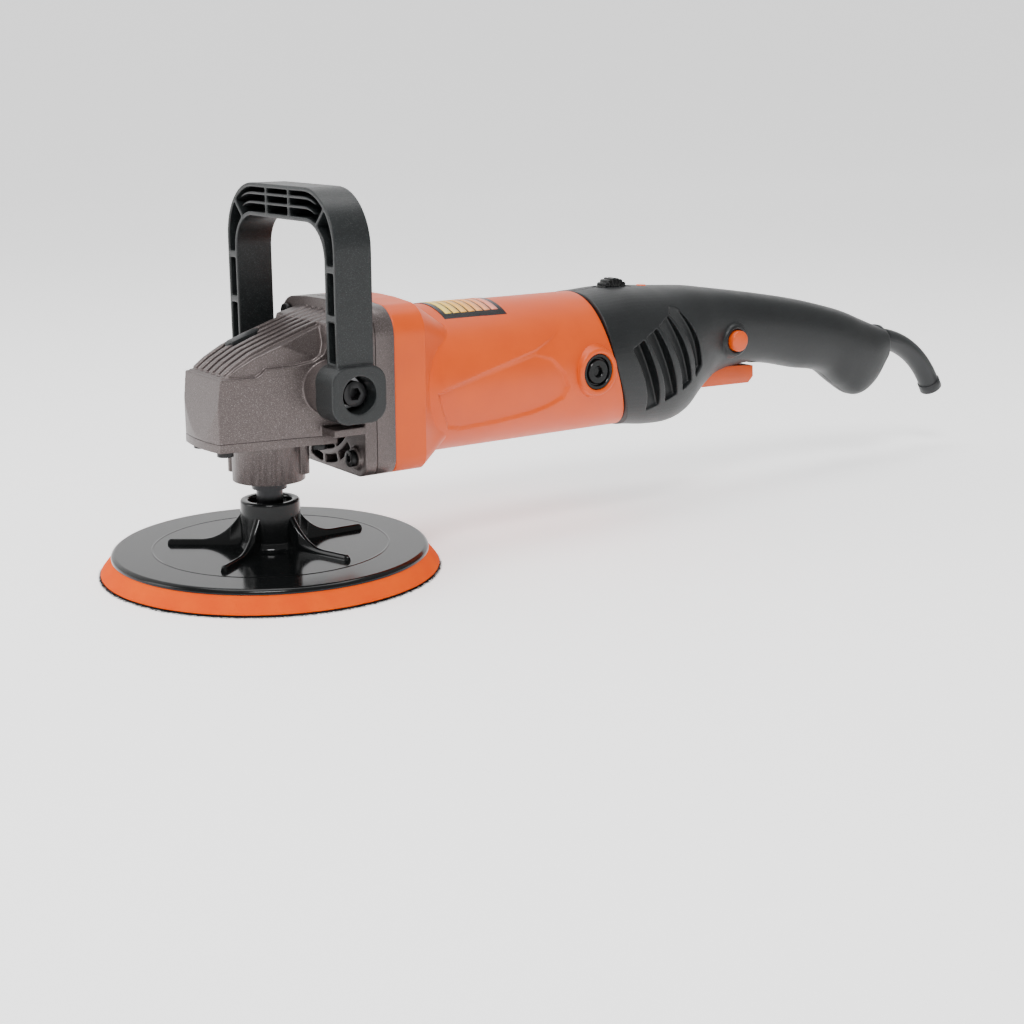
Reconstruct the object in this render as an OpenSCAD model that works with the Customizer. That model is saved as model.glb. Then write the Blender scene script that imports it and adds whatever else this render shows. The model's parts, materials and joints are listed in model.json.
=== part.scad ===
// Rotary polisher with a loop handle at the front and a paddle trigger in the rear handle.
// Origin: on the spindle axis, at the pad's working face. +Z up, +X towards the rear handle. Millimetres.

/* [Pad] */
// Diameter of the pad's working face
pad_d = 178; // [160:1:180]
// Height of the backing plate's hub above the plate
hub_h = 25; // [22:1:26]
// Number of fins on the backing plate
fin_count = 5; // [3:1:6]

/* [Motor and gears] */
// Height of the motor axis above the pad's working face
motor_z = 92.3; // [92:0.1:93]
// Width of the square flange in front of the motor
flange_w = 88; // [87:0.5:90]
// Outside radius of the motor barrel
barrel_r = 40.6; // [40:0.2:42]
// Teeth on the bevel gear of the spindle
bevel_gear_teeth = 29; // [29:1:29]
// Teeth on the bevel pinion
bevel_pinion_teeth = 10; // [10:1:10]
// Module of the bevel teeth at their outer end
bevel_module = 1.4; // [1.3:0.05:1.4]
// Teeth on the reduction gear
reduction_teeth = 30; // [30:1:30]
// Teeth cut on the armature shaft
armature_teeth = 9; // [9:1:9]
// Module of the reduction teeth
reduction_module = 1; // [1:0.1:1]

/* [Handles] */
// Distance between the loop handle's two outer faces
loop_w = 115.2; // [110:1:120]
// Height of the loop handle's top
loop_top_z = 199.5; // [190:0.5:205]
// Depth of the loop handle, front to back
loop_depth = 21; // [18:0.5:24]
// Wall thickness of the rear handle shells
shell_wall = 2.6; // [2.2:0.1:3]

/* [Hidden] */
$fn = 64;
soft_fn = 32;
touch = 0.05;   // radial play of a running fit
seam = 0.3;     // gap where two mouldings meet

// Pad and backing plate
pad_r = pad_d / 2;
plate_r = pad_r - 5.8;
hook_h = 1.2;
plate_z = 9.9;
plate_t = 2.7;
plate_top_z = plate_z + plate_t;
hub_r = 16;
hub_top_z = plate_top_z + hub_h;
insert_r = 9.5;
insert_z = 12;
fin_t = 3.4;
fin_reach = 57;
fin_h = 5;

// Spindle
thread_r = 6.95;
collar_r = 9.25;
journal_r = 6;
tip_journal_r = 5;
collar_z = 43.5;
neck_z = 48.5;
cover_z = 69.5;
case_z = 73.8;

// Bevel pair: the axes meet at the height of the layshaft
reduction_distance = reduction_module * (reduction_teeth + armature_teeth) / 2;
lay_z = motor_z + reduction_distance;
bevel_gear_r = bevel_module * bevel_gear_teeth / 2;
bevel_pinion_r = bevel_module * bevel_pinion_teeth / 2;
cone_len = sqrt(pow(bevel_gear_r, 2) + pow(bevel_pinion_r, 2));
bevel_face = 6;
bevel_taper = (cone_len - bevel_face) / cone_len;
bevel_add = 0.75 * bevel_module;
bevel_ded = 0.95 * bevel_module;
backlash = 0.35;

// Gear case plan: half widths at the front and rear of the taper
case_front_x = -36.8;
case_bow = 2.2;
case_front_w = 20;
case_rear_x = 24;
case_rear_w = 31;
flange_x = 33.3;
case_end_x = flange_x + 2;
bracket_x = 40.3;
motor_x = 51.3;
flange_top_z = 140.5;
flange_low_z = 51.3;
rib_pitch = 6.4;
rib_w = 3.2;
groove = 2.2;

// Motor housing
collar_end_x = 70;
barrel_x = 88;
housing_wall = 3;
brush_x = 187;
screw_spots = [[-34.5, -31], [34.5, -31], [-34, 38], [34, 38]];   // y and z from the motor axis

// Loop handle
loop_x = 10;
bolt_x = 21;
bolt_z = 99;
loop_leg = 10.7;
loop_bar = 17;
boss_out_y = 60;
boss_in_y = 42.5;

// Rear handle
handle_x = 205;
handle_end_x = 466;
grip_button_x = 311;
grip_button_z = 97;
dial_x = 230;
dial_z = 128.4;
dial_r = 10.4;
trigger_hinge_x = 289;
trigger_hinge_z = 77;
// Stations along the rear handle: x, top z, bottom z, half width
handle_stations = [
  [205, 132.9, 51.7, 40.6], [230, 134.2, 49.5, 39.5], [252, 133, 49.5, 36.5], [270, 131.8, 54, 32],
  [289, 130.5, 66, 26.5], [305, 128.3, 74, 22.5], [327, 125, 77.5, 20], [350, 121.4, 77, 19],
  [380, 116, 71, 18.5], [408, 109.5, 65.5, 18.3], [426, 104.5, 54, 18], [441, 99, 46.5, 17],
  [454, 94.2, 51.5, 15.2], [466, 90.2, 66, 12]];

// ---------- helpers ----------

// Cylinder along X
module rod_x(x0, x1, r, z) {
  translate([x0, 0, z]) rotate([0, 90, 0]) cylinder(h = x1 - x0, r = r);
}

// Ring along X
module ring_x(x0, x1, r_out, r_in, z) {
  difference() {
    rod_x(x0, x1, r_out, z);
    rod_x(x0 - 1, x1 + 1, r_in, z);
  }
}

// Cylinder along Y
module rod_y(y0, y1, r, x, z) {
  translate([x, y0, z]) rotate([-90, 0, 0]) cylinder(h = y1 - y0, r = r);
}

// Ring along Z
module ring_z(z0, z1, r_out, r_in) {
  translate([0, 0, z0]) difference() {
    cylinder(h = z1 - z0, r = r_out);
    translate([0, 0, -1]) cylinder(h = z1 - z0 + 2, r = r_in);
  }
}

// Side outline in (x, z), extruded to a width centred on y = 0
module side_slab(w) {
  translate([0, w / 2, 0]) rotate([90, 0, 0]) linear_extrude(w) children();
}

// Section in (y, z), extruded from x0 to x1
module cross_slab(x0, x1) {
  translate([x0, 0, 0]) rotate([90, 0, 90]) linear_extrude(x1 - x0) children();
}

module on_both_sides() {
  children();
  mirror([0, 1, 0]) children();
}

// Rounded square in 2D
module soft_square(w, h, r) {
  union() {
    square([w - 2 * r, h], center = true);
    square([w, h - 2 * r], center = true);
    for (sx = [-1, 1], sy = [-1, 1]) translate([sx * (w / 2 - r), sy * (h / 2 - r)]) circle(r);
  }
}

// Outline of a gear wheel with straight-flanked teeth
function tooth_points(n, m, play, i) = let(
    a = 360 * i / n, r = m * n / 2, root = r - 1.2 * m, tip = r + 0.85 * m,
    half = 360 * (PI * m / 2 - play) / (2 * PI * r) / 2)
  [[root, a - half * 1.75], [r, a - half], [tip, a - half * 0.42],
   [tip, a + half * 0.42], [r, a + half], [root, a + half * 1.75]];

function polar(p) = [p[0] * cos(p[1]), p[0] * sin(p[1])];

module gear_outline(n, m, play) {
  polygon([for (i = [0:n - 1]) for (p = tooth_points(n, m, play, i)) polar(p)]);
}

// One tapered bevel tooth on a cone about Z; the pitch line starts at [r, 0, z] and runs to the apex
module bevel_tooth(r, z, apex_z) {
  lean = atan2(apex_z - z, r);
  pitch = PI * bevel_module;
  low = (pitch / 2 - backlash) / 2 + bevel_ded * tan(20);
  high = (pitch / 2 - backlash) / 2 - bevel_add * tan(20);
  translate([r, 0, z]) rotate([0, -90 + lean, 0])
    linear_extrude(bevel_face, scale = bevel_taper)
      polygon([[-bevel_ded - 0.3, -low], [bevel_add, -high], [bevel_add, high], [-bevel_ded - 0.3, low]]);
}

// Round wire wound as an open coil along Z
module coil_spring(r, wire, turns, length) {
  sides = 6;
  steps = 10;
  rings = turns * steps;
  pts = [for (i = [0:rings]) for (k = [0:sides - 1]) let(
      a = 360 * i / steps, b = 360 * k / sides, rr = r + wire * cos(b))
    [rr * cos(a), rr * sin(a), wire + (length - 2 * wire) * i / rings + wire * sin(b)]];
  walls = [for (i = [0:rings - 1]) for (k = [0:sides - 1]) let(
      a = i * sides + k, b = i * sides + (k + 1) % sides)
    [[a, a + sides, b], [b, a + sides, b + sides]]];
  start_cap = [for (k = [0:sides - 1]) k];
  end_cap = [for (k = [sides - 1:-1:0]) rings * sides + k];
  polyhedron(pts, concat([for (w = walls) w[0]], [for (w = walls) w[1]], [start_cap, end_cap]));
}

// Cross-recessed pan head screw along +Z, its head below z = 0
module pan_screw(head_r, head_h, shank_r, length) {
  difference() {
    union() {
      translate([0, 0, -head_h]) cylinder(h = head_h, r = head_r);
      cylinder(h = length, r = shank_r);
    }
    for (a = [0, 90]) rotate([0, 0, a]) translate([-head_r * 0.55, -0.5, -head_h - 1])
      cube([head_r * 1.1, 1, 2]);
  }
}

// ---------- pad ----------

module foam_pad() {
  color("darkorange") rotate_extrude()
    polygon([[0, hook_h], [pad_r, hook_h], [pad_r, hook_h + 0.8], [plate_r, plate_z], [0, plate_z]]);
}

module hook_face() {
  color("#2a2a2c") cylinder(h = hook_h, r = pad_r - 0.4);
}

module backing_plate() {
  color("#141516") {
    rotate_extrude()
      polygon([[0, plate_z], [plate_r, plate_z], [plate_r, plate_z + 1.2], [plate_r - 1.5, plate_top_z],
        [hub_r + 2, plate_top_z], [hub_r, plate_top_z + 2], [hub_r, hub_top_z], [11.5, hub_top_z],
        [11.5, hub_top_z - 3.5], [insert_r, hub_top_z - 3.5], [insert_r, insert_z], [0, insert_z]]);
    for (i = [0:fin_count - 1]) rotate([0, 0, i * 360 / fin_count]) backing_fin();
  }
}

// One fin: a low arm that sweeps up the hub in a hollow curve
module backing_fin() {
  sweep_r0 = hub_r - 1;
  sweep_r1 = 34;
  sweep_h = 11;
  curve = [for (t = [0:0.125:1]) [sweep_r1 - (sweep_r1 - sweep_r0) * t,
    plate_top_z + fin_h + sweep_h * pow(t, 2.4)]];
  side_slab(fin_t) polygon(concat([[sweep_r0, plate_top_z - 0.5], [fin_reach, plate_top_z - 0.5],
    [fin_reach, plate_top_z + fin_h - 1.2], [fin_reach - 1.2, plate_top_z + fin_h]], curve));
}

module threaded_insert() {
  color("silver") ring_z(insert_z, hub_top_z - 3.5, insert_r, thread_r + 0.03);
}

// ---------- spindle ----------

module spindle() {
  color("#3a3b3d") difference() {
    rotate_extrude()
      polygon([[0, 14], [thread_r - 0.8, 14], [thread_r, 14.8], [thread_r, collar_z], [collar_r, collar_z],
        [collar_r, collar_z + 4], [journal_r, collar_z + 4], [journal_r, 107], [tip_journal_r, 107],
        [tip_journal_r, 118.5], [0, 118.5]]);
    translate([journal_r - 1.5, -2, 96]) cube([3, 4, 8]);
  }
}

module spindle_spacer() {
  color("lightgray") ring_z(69.4, 94, 8.5, journal_r + 0.02);
}

module spindle_key() {
  color("gray") translate([journal_r - 1.5, -2, 96]) cube([3, 4, 8]);
}

module bevel_gear() {
  pitch_z = lay_z - bevel_pinion_r;
  nr = bevel_pinion_r / cone_len;
  nz = bevel_gear_r / cone_len;
  inner_r = bevel_gear_r * bevel_taper;
  inner_z = lay_z - bevel_pinion_r * bevel_taper;
  root_in = bevel_ded * bevel_taper;
  color("gray") {
    difference() {
      rotate_extrude()
        polygon([[0, 94], [10, 94], [10, 98], [bevel_gear_r - 2, 99],
          [bevel_gear_r - nr * bevel_ded, pitch_z - nz * bevel_ded],
          [inner_r - nr * root_in, inner_z - nz * root_in], [0, inner_z - nz * root_in]]);
      translate([0, 0, 90]) cylinder(h = 20, r = journal_r);
      translate([journal_r - 1.5, -2, 90]) cube([3, 4, 14]);
    }
    for (i = [0:bevel_gear_teeth - 1]) rotate([0, 0, (i + 0.5) * 360 / bevel_gear_teeth])
      bevel_tooth(bevel_gear_r, pitch_z, lay_z);
  }
}

// ---------- layshaft ----------

module bevel_pinion_shaft() {
  inner_x = bevel_gear_r * bevel_taper;
  root_out = bevel_pinion_r - bevel_ded * bevel_gear_r / cone_len;
  root_in = root_out * bevel_taper;
  color("#8c8c8e") translate([0, 0, lay_z]) rotate([0, 90, 0]) {
    rotate_extrude()
      polygon([[0, inner_x], [root_in, inner_x], [root_out, bevel_gear_r], [root_out, 21.2], [3.5, 21.2],
        [3.5, 39.3], [3, 39.3], [3, 45.3], [0, 45.3]]);
    for (i = [0:bevel_pinion_teeth - 1]) rotate([0, 0, i * 360 / bevel_pinion_teeth])
      mirror([0, 0, 1]) bevel_tooth(bevel_pinion_r, -bevel_gear_r, 0);
  }
}

module reduction_gear() {
  color("darkgray") difference() {
    translate([28.2, 0, lay_z]) rotate([90, 0, 90]) rotate([0, 0, 90 + 180 / reduction_teeth])
      linear_extrude(9) gear_outline(reduction_teeth, reduction_module, backlash);
    rod_x(27, 38, 3.5, lay_z);
    for (a = [0:60:300]) translate([28.2, 0, lay_z]) rotate([a, 0, 0]) translate([-1, 0, 8.5])
      rotate([0, 90, 0]) cylinder(h = 12, r = 2.6);
  }
}

// ---------- armature ----------

module armature_shaft() {
  color("#a0a2a5") {
    translate([27.8, 0, motor_z]) rotate([90, 0, 90]) rotate([0, 0, 90])
      linear_extrude(11) gear_outline(armature_teeth, reduction_module, backlash);
    rod_x(38.7, 46, 4.4, motor_z);
    rod_x(45.5, 77, 6, motor_z);
    rod_x(77, 194, 5, motor_z);
    rod_x(194, 203, 4, motor_z);
  }
}

module armature_core() {
  slots = 12;
  color("#5b5d60") difference() {
    rod_x(114, 164, 22, motor_z);
    rod_x(113, 165, 5, motor_z);
    for (i = [0:slots - 1]) translate([113, 0, motor_z]) rotate([i * 360 / slots, 0, 0])
      translate([0, -1.6, 14]) cube([52, 3.2, 9]);
  }
}

module armature_windings() {
  slots = 12;
  color("#b5651d") {
    ring_x(104, 114, 19.5, 5, motor_z);
    ring_x(164, 174, 19.5, 5, motor_z);
    for (i = [0:slots - 1]) translate([113.9, 0, motor_z]) rotate([i * 360 / slots, 0, 0])
      translate([0, -1.5, 14.2]) cube([50.2, 3, 5]);
  }
}

module commutator() {
  bars = 24;
  color("#b87333") difference() {
    rod_x(178, 193, 13, motor_z);
    rod_x(177, 194, 5, motor_z);
    for (i = [0:bars - 1]) translate([177, 0, motor_z]) rotate([i * 360 / bars, 0, 0])
      translate([0, -0.3, 12]) cube([17, 0.6, 2]);
  }
}

module cooling_fan() {
  blades = 15;
  fan_r = 31;
  color("#26282a") {
    difference() {
      union() {
        rod_x(77.5, 90, 9, motor_z);
        rod_x(77.5, 79.5, fan_r, motor_z);
        for (i = [0:blades - 1]) translate([79, 0, motor_z]) rotate([i * 360 / blades, 0, 0])
          translate([0, -0.8, 13]) cube([10, 1.6, fan_r - 13.4]);
      }
      rod_x(76, 91, 5, motor_z);
    }
  }
}

// ---------- gear case ----------

// Section of the square flange and the collar behind it, in (y, z), drawn in by an inset
module flange_outline(inset = 0) {
  low_r = 9;
  top_r = 15;
  half = flange_w / 2 - inset;
  low = flange_low_z + inset;
  top = flange_top_z - inset;
  lr = low_r - inset;
  tr = top_r - inset;
  on_both_sides_2d() {
    translate([half - lr, low + lr]) circle(lr);
    translate([half - tr, top - tr - 1.5]) circle(tr);
  }
  translate([lr - half, low]) square([2 * (half - lr), 40]);
  translate([-half, low + lr]) square([2 * half, top - tr - 1.5 - low - lr]);
  polygon([[-half + tr, top - 40], [half - tr, top - 40], [half - tr, top - 1.5], [half / 3, top - 0.3],
    [0, top], [-half / 3, top - 0.3], [tr - half, top - 1.5]]);
}

module on_both_sides_2d() {
  children();
  mirror([1, 0]) children();
}

// Plan of the gear case, drawn in by an inset
function case_points(inset, rear_x) = concat(
  [for (t = [-1:0.25:1]) [case_front_x + inset - case_bow * (1 - t * t), t * (case_front_w - inset)]],
  [[case_rear_x, case_rear_w - inset], [rear_x, case_rear_w - inset],
   [rear_x, inset - case_rear_w], [case_rear_x, inset - case_rear_w]]);

// Sloping top of the gear case, front to rear
function roof_points(drop) = [[-31, 109.5 - drop], [-26, 113.2 - drop], [-16.5, 118.4 - drop],
  [-3.5, 123.4 - drop], [12.5, 128.8 - drop], [27.5, 133.4 - drop], [case_end_x, 136 - drop]];

module case_side(drop) {
  polygon(concat([[-40, case_z], [-39.2, case_z], [-35.4, 104], [-33.8, 107.5]], roof_points(drop),
    [[case_end_x, case_z]]));
}

// Outline below the stepped ledge along the case's side
module case_lower_side() {
  polygon([[-40, case_z], [-39.2, case_z], [-35.2, 106.5], [-17, 106.5], [-14.5, 108], [-12, 110.5],
    [4, 111.2], [13, 112.8], [18, 116], [20.5, 121], [21.5, 131], [case_end_x, 135], [case_end_x, case_z]]);
}

module case_outer() {
  intersection() {
    translate([0, 0, case_z]) linear_extrude(70) polygon(case_points(0, case_end_x));
    side_slab(90) case_lower_side();
    cross_slab(-45, case_end_x)
      polygon([[-31, 70], [31, 70], [31, 118], [24, 138], [-24, 138], [-31, 118]]);
  }
  intersection() {
    translate([0, 0, case_z]) linear_extrude(70) polygon(case_points(2, case_end_x));
    side_slab(90) case_side(groove);
    cross_slab(-45, case_end_x)
      polygon([[-29, 70], [29, 70], [29, 111], [18.6, 133], [18.6, 145], [-18.6, 145], [-18.6, 133],
        [-29, 111]]);
  }
  for (i = [-2.5:1:2.5]) intersection() {
    side_slab(60) case_side(0);
    translate([-32, i * rib_pitch - rib_w / 2, 100]) cube([case_end_x + 32, rib_w, 42]);
  }
}

// Stadium-shaped space for the spindle lock button
lock_pos = [-6.5, 12];
module lock_plan(grow) {
  for (dx = [-5.8, 5.8]) translate([lock_pos[0] + dx, lock_pos[1]]) circle(3.5 + grow);
  translate([lock_pos[0] - 5.8, lock_pos[1] - 3.5 - grow]) square([11.6, 7 + 2 * grow]);
}

module gear_housing() {
  color("#8d8583") difference() {
    union() {
      case_outer();
      cross_slab(flange_x, bracket_x) flange_outline();
      rod_y(-boss_in_y, boss_in_y, 14, bolt_x, bolt_z);
      on_both_sides() translate([15.8, 24, 75]) cube([flange_x - 14.8, 19, 4]);
      for (p = screw_spots) if (p[1] < 0) translate([flange_x - 2, p[0], motor_z + p[1]]) rotate([0, 90, 0])
        cylinder(h = 3, r = 6);
    }
    difference() {
      translate([0, 0, case_z - 1]) linear_extrude(103 - case_z) polygon(case_points(3.4, case_rear_x + 0.5));
      for (p = cover_screw_spots) translate([p[0], p[1], case_z - 2]) cylinder(h = 18, r = 4.8);
    }
    translate([0, 0, 90]) cylinder(h = 18.2, r = 22);
    rod_x(11.2, 21, 9.4, lay_z);
    rod_x(20.5, 27, 9.5, lay_z);
    rod_x(26, 28, 6, lay_z);
    rod_x(27.4, bracket_x + 1, 17.5, lay_z);
    rod_x(27, bracket_x + 1, 7.5, motor_z);
    translate([0, 0, 107]) cylinder(h = 12, r = 7);
    translate([0, 0, 112.5]) linear_extrude(30) lock_plan(0.35);
    translate([lock_pos[0], lock_pos[1], 105]) cylinder(h = 10, r = 1.6);
    on_both_sides() rod_y(27.5, boss_in_y + 1, 4, bolt_x, bolt_z);
    for (p = screw_spots) translate([flange_x - 4, p[0], motor_z + p[1]]) rotate([0, 90, 0])
      cylinder(h = 16, r = 2.3);
    for (p = cover_screw_spots) translate([p[0], p[1], case_z - 1]) cylinder(h = 13, r = 2.2);
    for (band = exhaust_bands, a = exhaust_angles) exhaust_slot(band, a, flange_x - 1, bracket_x + 1);
    on_both_sides() translate([flange_x - 1, boss_in_y - seam, bolt_z - 15.5]) cube([5, 4, 31]);
  }
}

exhaust_bands = [[27.5, 31.5], [35, 39]];
exhaust_angles = [-36, -12, 12, 36];

// Curved slot centred at an angle from straight down
module exhaust_slot(band, a, x0, x1) {
  half = 9.5;
  steps = [-1:0.5:1];
  cross_slab(x0, x1) translate([0, motor_z]) polygon(concat(
    [for (t = steps) band[0] * [sin(a + t * half), -cos(a + t * half)]],
    [for (t = [1:-0.5:-1]) band[1] * [sin(a + t * half), -cos(a + t * half)]]));
}

cover_screw_spots = [[-31, -13.5], [-31, 13.5], [17, -24.5], [17, 24.5]];

module bearing_cover() {
  side_boss = 18;
  color("#86807e") difference() {
    union() {
      translate([0, 0, cover_z]) linear_extrude(case_z - cover_z) polygon(case_points(0, case_rear_x));
      translate([0, 0, neck_z]) cylinder(h = cover_z - neck_z + 1, r = 19);
      for (a = [-45, 135]) rotate([0, 0, a]) translate([side_boss, 0, neck_z + 3.5])
        cylinder(h = cover_z - neck_z - 3, r = 4);
    }
    translate([0, 0, neck_z - 1]) cylinder(h = 4, r = 10.5);
    translate([0, 0, neck_z + 2]) cylinder(h = 10, r = 14);
    translate([0, 0, 59]) cylinder(h = 20, r = 16);
    for (p = cover_screw_spots) translate([p[0], p[1], cover_z - 1]) cylinder(h = 10, r = 2.3);
  }
}

module cover_screws() {
  color("#202123") for (p = cover_screw_spots) translate([p[0], p[1], cover_z])
    pan_screw(4.2, 3, 2.2, 14);
}

module spindle_seal() {
  color("#303030") ring_z(neck_z + 2.2, neck_z + 7.5, 14, journal_r + touch);
}

module spindle_bearing_lower() {
  color("silver") ring_z(59, 69, 16, journal_r + 0.03);
}

module spindle_circlip() {
  color("#444") difference() {
    ring_z(69.1, 70.4, 16, 12.8);
    translate([12, -2, 69]) cube([5, 4, 2]);
  }
}

module spindle_bearing_upper() {
  color("silver") ring_z(108.4, 118.6, 7, tip_journal_r + 0.03);
}

module layshaft_bearing_front() {
  color("silver") ring_x(21.4, 26.9, 9.5, 3.53, lay_z);
}

module layshaft_bearing_rear() {
  color("silver") ring_x(39.6, 44.8, 8.5, 3.03, lay_z);
}

module armature_bearing_front() {
  color("silver") ring_x(46, 54, 14, 6.03, motor_z);
}

module armature_bearing_rear() {
  color("silver") ring_x(195, 202, 11, 4.03, motor_z);
}

module rear_bearing_sleeve() {
  color("#2c2c2c") ring_x(195, 202, 13, 11, motor_z);
}

module motor_bracket() {
  color("#7c7674") difference() {
    union() {
      cross_slab(bracket_x, motor_x) flange_outline();
      rod_x(38.6, bracket_x + 1, 11.2, lay_z);
      rod_x(motor_x - 1, 54.5, 17, motor_z);
    }
    rod_x(46, 55.5, 14, motor_z);
    rod_x(38, 47, 7.5, motor_z);
    rod_x(38, 45, 8.5, lay_z);
    rod_x(44, 46.5, 4, lay_z);
    for (p = screw_spots) translate([bracket_x - 1, p[0], motor_z + p[1]]) rotate([0, 90, 0])
      cylinder(h = 20, r = 2.3);
    for (band = exhaust_bands, a = exhaust_angles) exhaust_slot(band, a, bracket_x - 1, motor_x + 1);
    for (a = [-104, 104]) exhaust_slot([22, 34], a, bracket_x + 5, motor_x + 1);
  }
}

module flange_screws() {
  head_h = 3;
  color("#202123") for (p = screw_spots) translate([p[1] < 0 ? flange_x - 2 : flange_x, p[0], motor_z + p[1]])
    rotate([0, 90, 0]) difference() {
      union() {
        translate([0, 0, -head_h]) cylinder(h = head_h, r = 4.3);
        cylinder(h = 28, r = 2.2);
      }
      translate([0, 0, -head_h - 1]) cylinder(h = 2.8, r = 2, $fn = 6);
    }
}

// ---------- motor housing ----------

// The moulding line between motor housing and rear handle, as x at height z
function parting_x(z) = let(t = (133 - z) / 84) 199 - 14 * t + 44 * t * t;

module parting_space(shift) {
  zs = [for (i = [0:24]) 150 - i * 5];
  side_slab(120) polygon(concat([for (z = zs) [parting_x(min(max(z, 40), 140)) + shift, z]],
    [[290, 30], [290, 150]]));
}

// The square collar and the taper from it to the round barrel, drawn in by an inset
module collar_shape(inset, x0, x1) {
  cross_slab(x0, collar_end_x) flange_outline(inset);
  hull() {
    cross_slab(collar_end_x - 0.1, collar_end_x) flange_outline(inset, $fn = soft_fn);
    rod_x(x1 - 0.1, x1, barrel_r - inset, motor_z, $fn = soft_fn);
  }
}

module motor_housing() {
  inner_r = barrel_r - housing_wall;
  color("#f06a1d") difference() {
    union() {
      difference() {
        union() {
          collar_shape(0, motor_x, barrel_x);
          rod_x(barrel_x - 1, 240, barrel_r, motor_z);
        }
        collar_shape(housing_wall, motor_x - 1, barrel_x - 3);
        rod_x(barrel_x - 4, 241, inner_r, motor_z);
        parting_space(0);
      }
      on_both_sides() rod_y(36, 43.4, 12.6, brush_x, motor_z);
      on_both_sides() rod_y(17, 38, 10.4, brush_x, motor_z);
      rear_spider();
      for (p = screw_spots) translate([motor_x, p[0], motor_z + p[1]]) rotate([0, 90, 0])
        cylinder(h = 14, r = 6.3);
    }
    on_both_sides() rod_y(16, 44, 8.02, brush_x, motor_z);
    for (p = screw_spots) translate([motor_x - 1, p[0], motor_z + p[1]]) rotate([0, 90, 0])
      cylinder(h = 13, r = 2.2);
  }
}

// Four arms inside the barrel that carry the rear bearing
module rear_spider() {
  difference() {
    union() {
      rod_x(194.5, 203, 15.6, motor_z);
      for (a = [45:90:315]) translate([190, 0, motor_z]) rotate([a, 0, 0]) translate([0, -3, 13])
        cube([8, 6, 25.5]);
    }
    rod_x(189, 204, 13, motor_z);
  }
}

module fan_baffle() {
  color("#1c1e20") ring_x(93.2, 95.2, barrel_r - housing_wall, 25, motor_z);
}

module stator_core() {
  color("#606266") difference() {
    ring_x(114, 164, barrel_r - housing_wall - 0.1, 23, motor_z);
    for (a = [0, 180]) coil_sector(113, 165, 22, 34.2, a - 66, a - 50);
    for (a = [0, 180]) coil_sector(113, 165, 22, 34.2, a + 50, a + 66);
  }
}

// Sector of a ring about the motor axis, from angle a0 to a1 measured from straight up
module coil_sector(x0, x1, r0, r1, a0, a1) {
  steps = [0:0.25:1];
  back = [1:-0.25:0];
  cross_slab(x0, x1) translate([0, motor_z]) polygon(concat(
    [for (t = steps) r0 * [sin(a0 + (a1 - a0) * t), cos(a0 + (a1 - a0) * t)]],
    [for (t = back) r1 * [sin(a0 + (a1 - a0) * t), cos(a0 + (a1 - a0) * t)]]));
}

module field_coils() {
  color("#b87333") for (a = [0, 180]) {
    coil_sector(105, 113.8, 24.5, 34, a - 65.5, a + 65.5);
    coil_sector(164.2, 173, 24.5, 34, a - 65.5, a + 65.5);
    coil_sector(105, 173, 24.5, 33.8, a - 65, a - 51);
    coil_sector(105, 173, 24.5, 33.8, a + 51, a + 65);
  }
}

// ---------- brushes ----------

module brush_holders() {
  color("#c9a84a") on_both_sides() difference() {
    rod_y(15, 37, 8, brush_x, motor_z);
    translate([brush_x - 3.2, 14, motor_z - 5.6]) cube([6.4, 24, 11.2]);
  }
}

module carbon_brushes() {
  color("#2f2f31") on_both_sides() difference() {
    translate([brush_x - 3.1, 12.5, motor_z - 5.5]) cube([6.2, 15.5, 11]);
    rod_x(177, 194, 13.1, motor_z);
  }
}

module brush_springs() {
  color("silver") on_both_sides() translate([brush_x, 28.1, motor_z]) rotate([-90, 0, 0])
    coil_spring(2.2, 0.35, 5, 8.8);
}

module brush_caps() {
  color("#303234") on_both_sides() difference() {
    rod_y(37.2, 42.4, 8, brush_x, motor_z);
    rod_y(41, 44, 3.4, brush_x, motor_z);
    translate([brush_x - 0.8, 39.8, motor_z - 3.3]) cube([1.6, 4, 6.6]);
  }
}

module speed_label() {
  color("#1a1a1a") intersection() {
    ring_x(97, 138, barrel_r + 0.35, barrel_r, motor_z);
    cross_slab(96, 139) polygon([[0, motor_z], [-28, motor_z + 44], [28, motor_z + 44]]);
  }
}

// ---------- rear handle ----------

// Smooth value between stations: column c of the stations at position x
function station_at(x, c, i = 0) =
  (x <= handle_stations[i + 1][0] || i == len(handle_stations) - 2) ? let(
      last = len(handle_stations) - 1,
      a = handle_stations[i], b = handle_stations[i + 1],
      p = handle_stations[max(i - 1, 0)], n = handle_stations[min(i + 2, last)],
      w = b[0] - a[0], t = (x - a[0]) / w,
      ma = i == 0 ? 0 : (b[c] - p[c]) / (b[0] - p[0]) * w,
      mb = (n[c] - a[c]) / (n[0] - a[0]) * w)
    (2 * t * t * t - 3 * t * t + 1) * a[c] + (t * t * t - 2 * t * t + t) * ma
      + (3 * t * t - 2 * t * t * t) * b[c] + (t * t * t - t * t) * mb
  : station_at(x, c, i + 1);

// Point of the handle's section at angle a, 90 at the top and -90 at the bottom
function handle_point(x, a, inset) = let(
    top = station_at(x, 1) - inset, low = station_at(x, 2) + inset, half = station_at(x, 3) - inset,
    mid = (top + low) / 2, tall = (top - low) / 2, e = 0.86,
    y = half * pow(cos(a), e), z = mid + tall * sign(sin(a)) * pow(abs(sin(a)), e),
    fade = pow(1 - (x - handle_x) / (handle_end_x - handle_x), 3))
  [x + (parting_x(z) + seam - handle_x) * fade, y, z];

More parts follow.
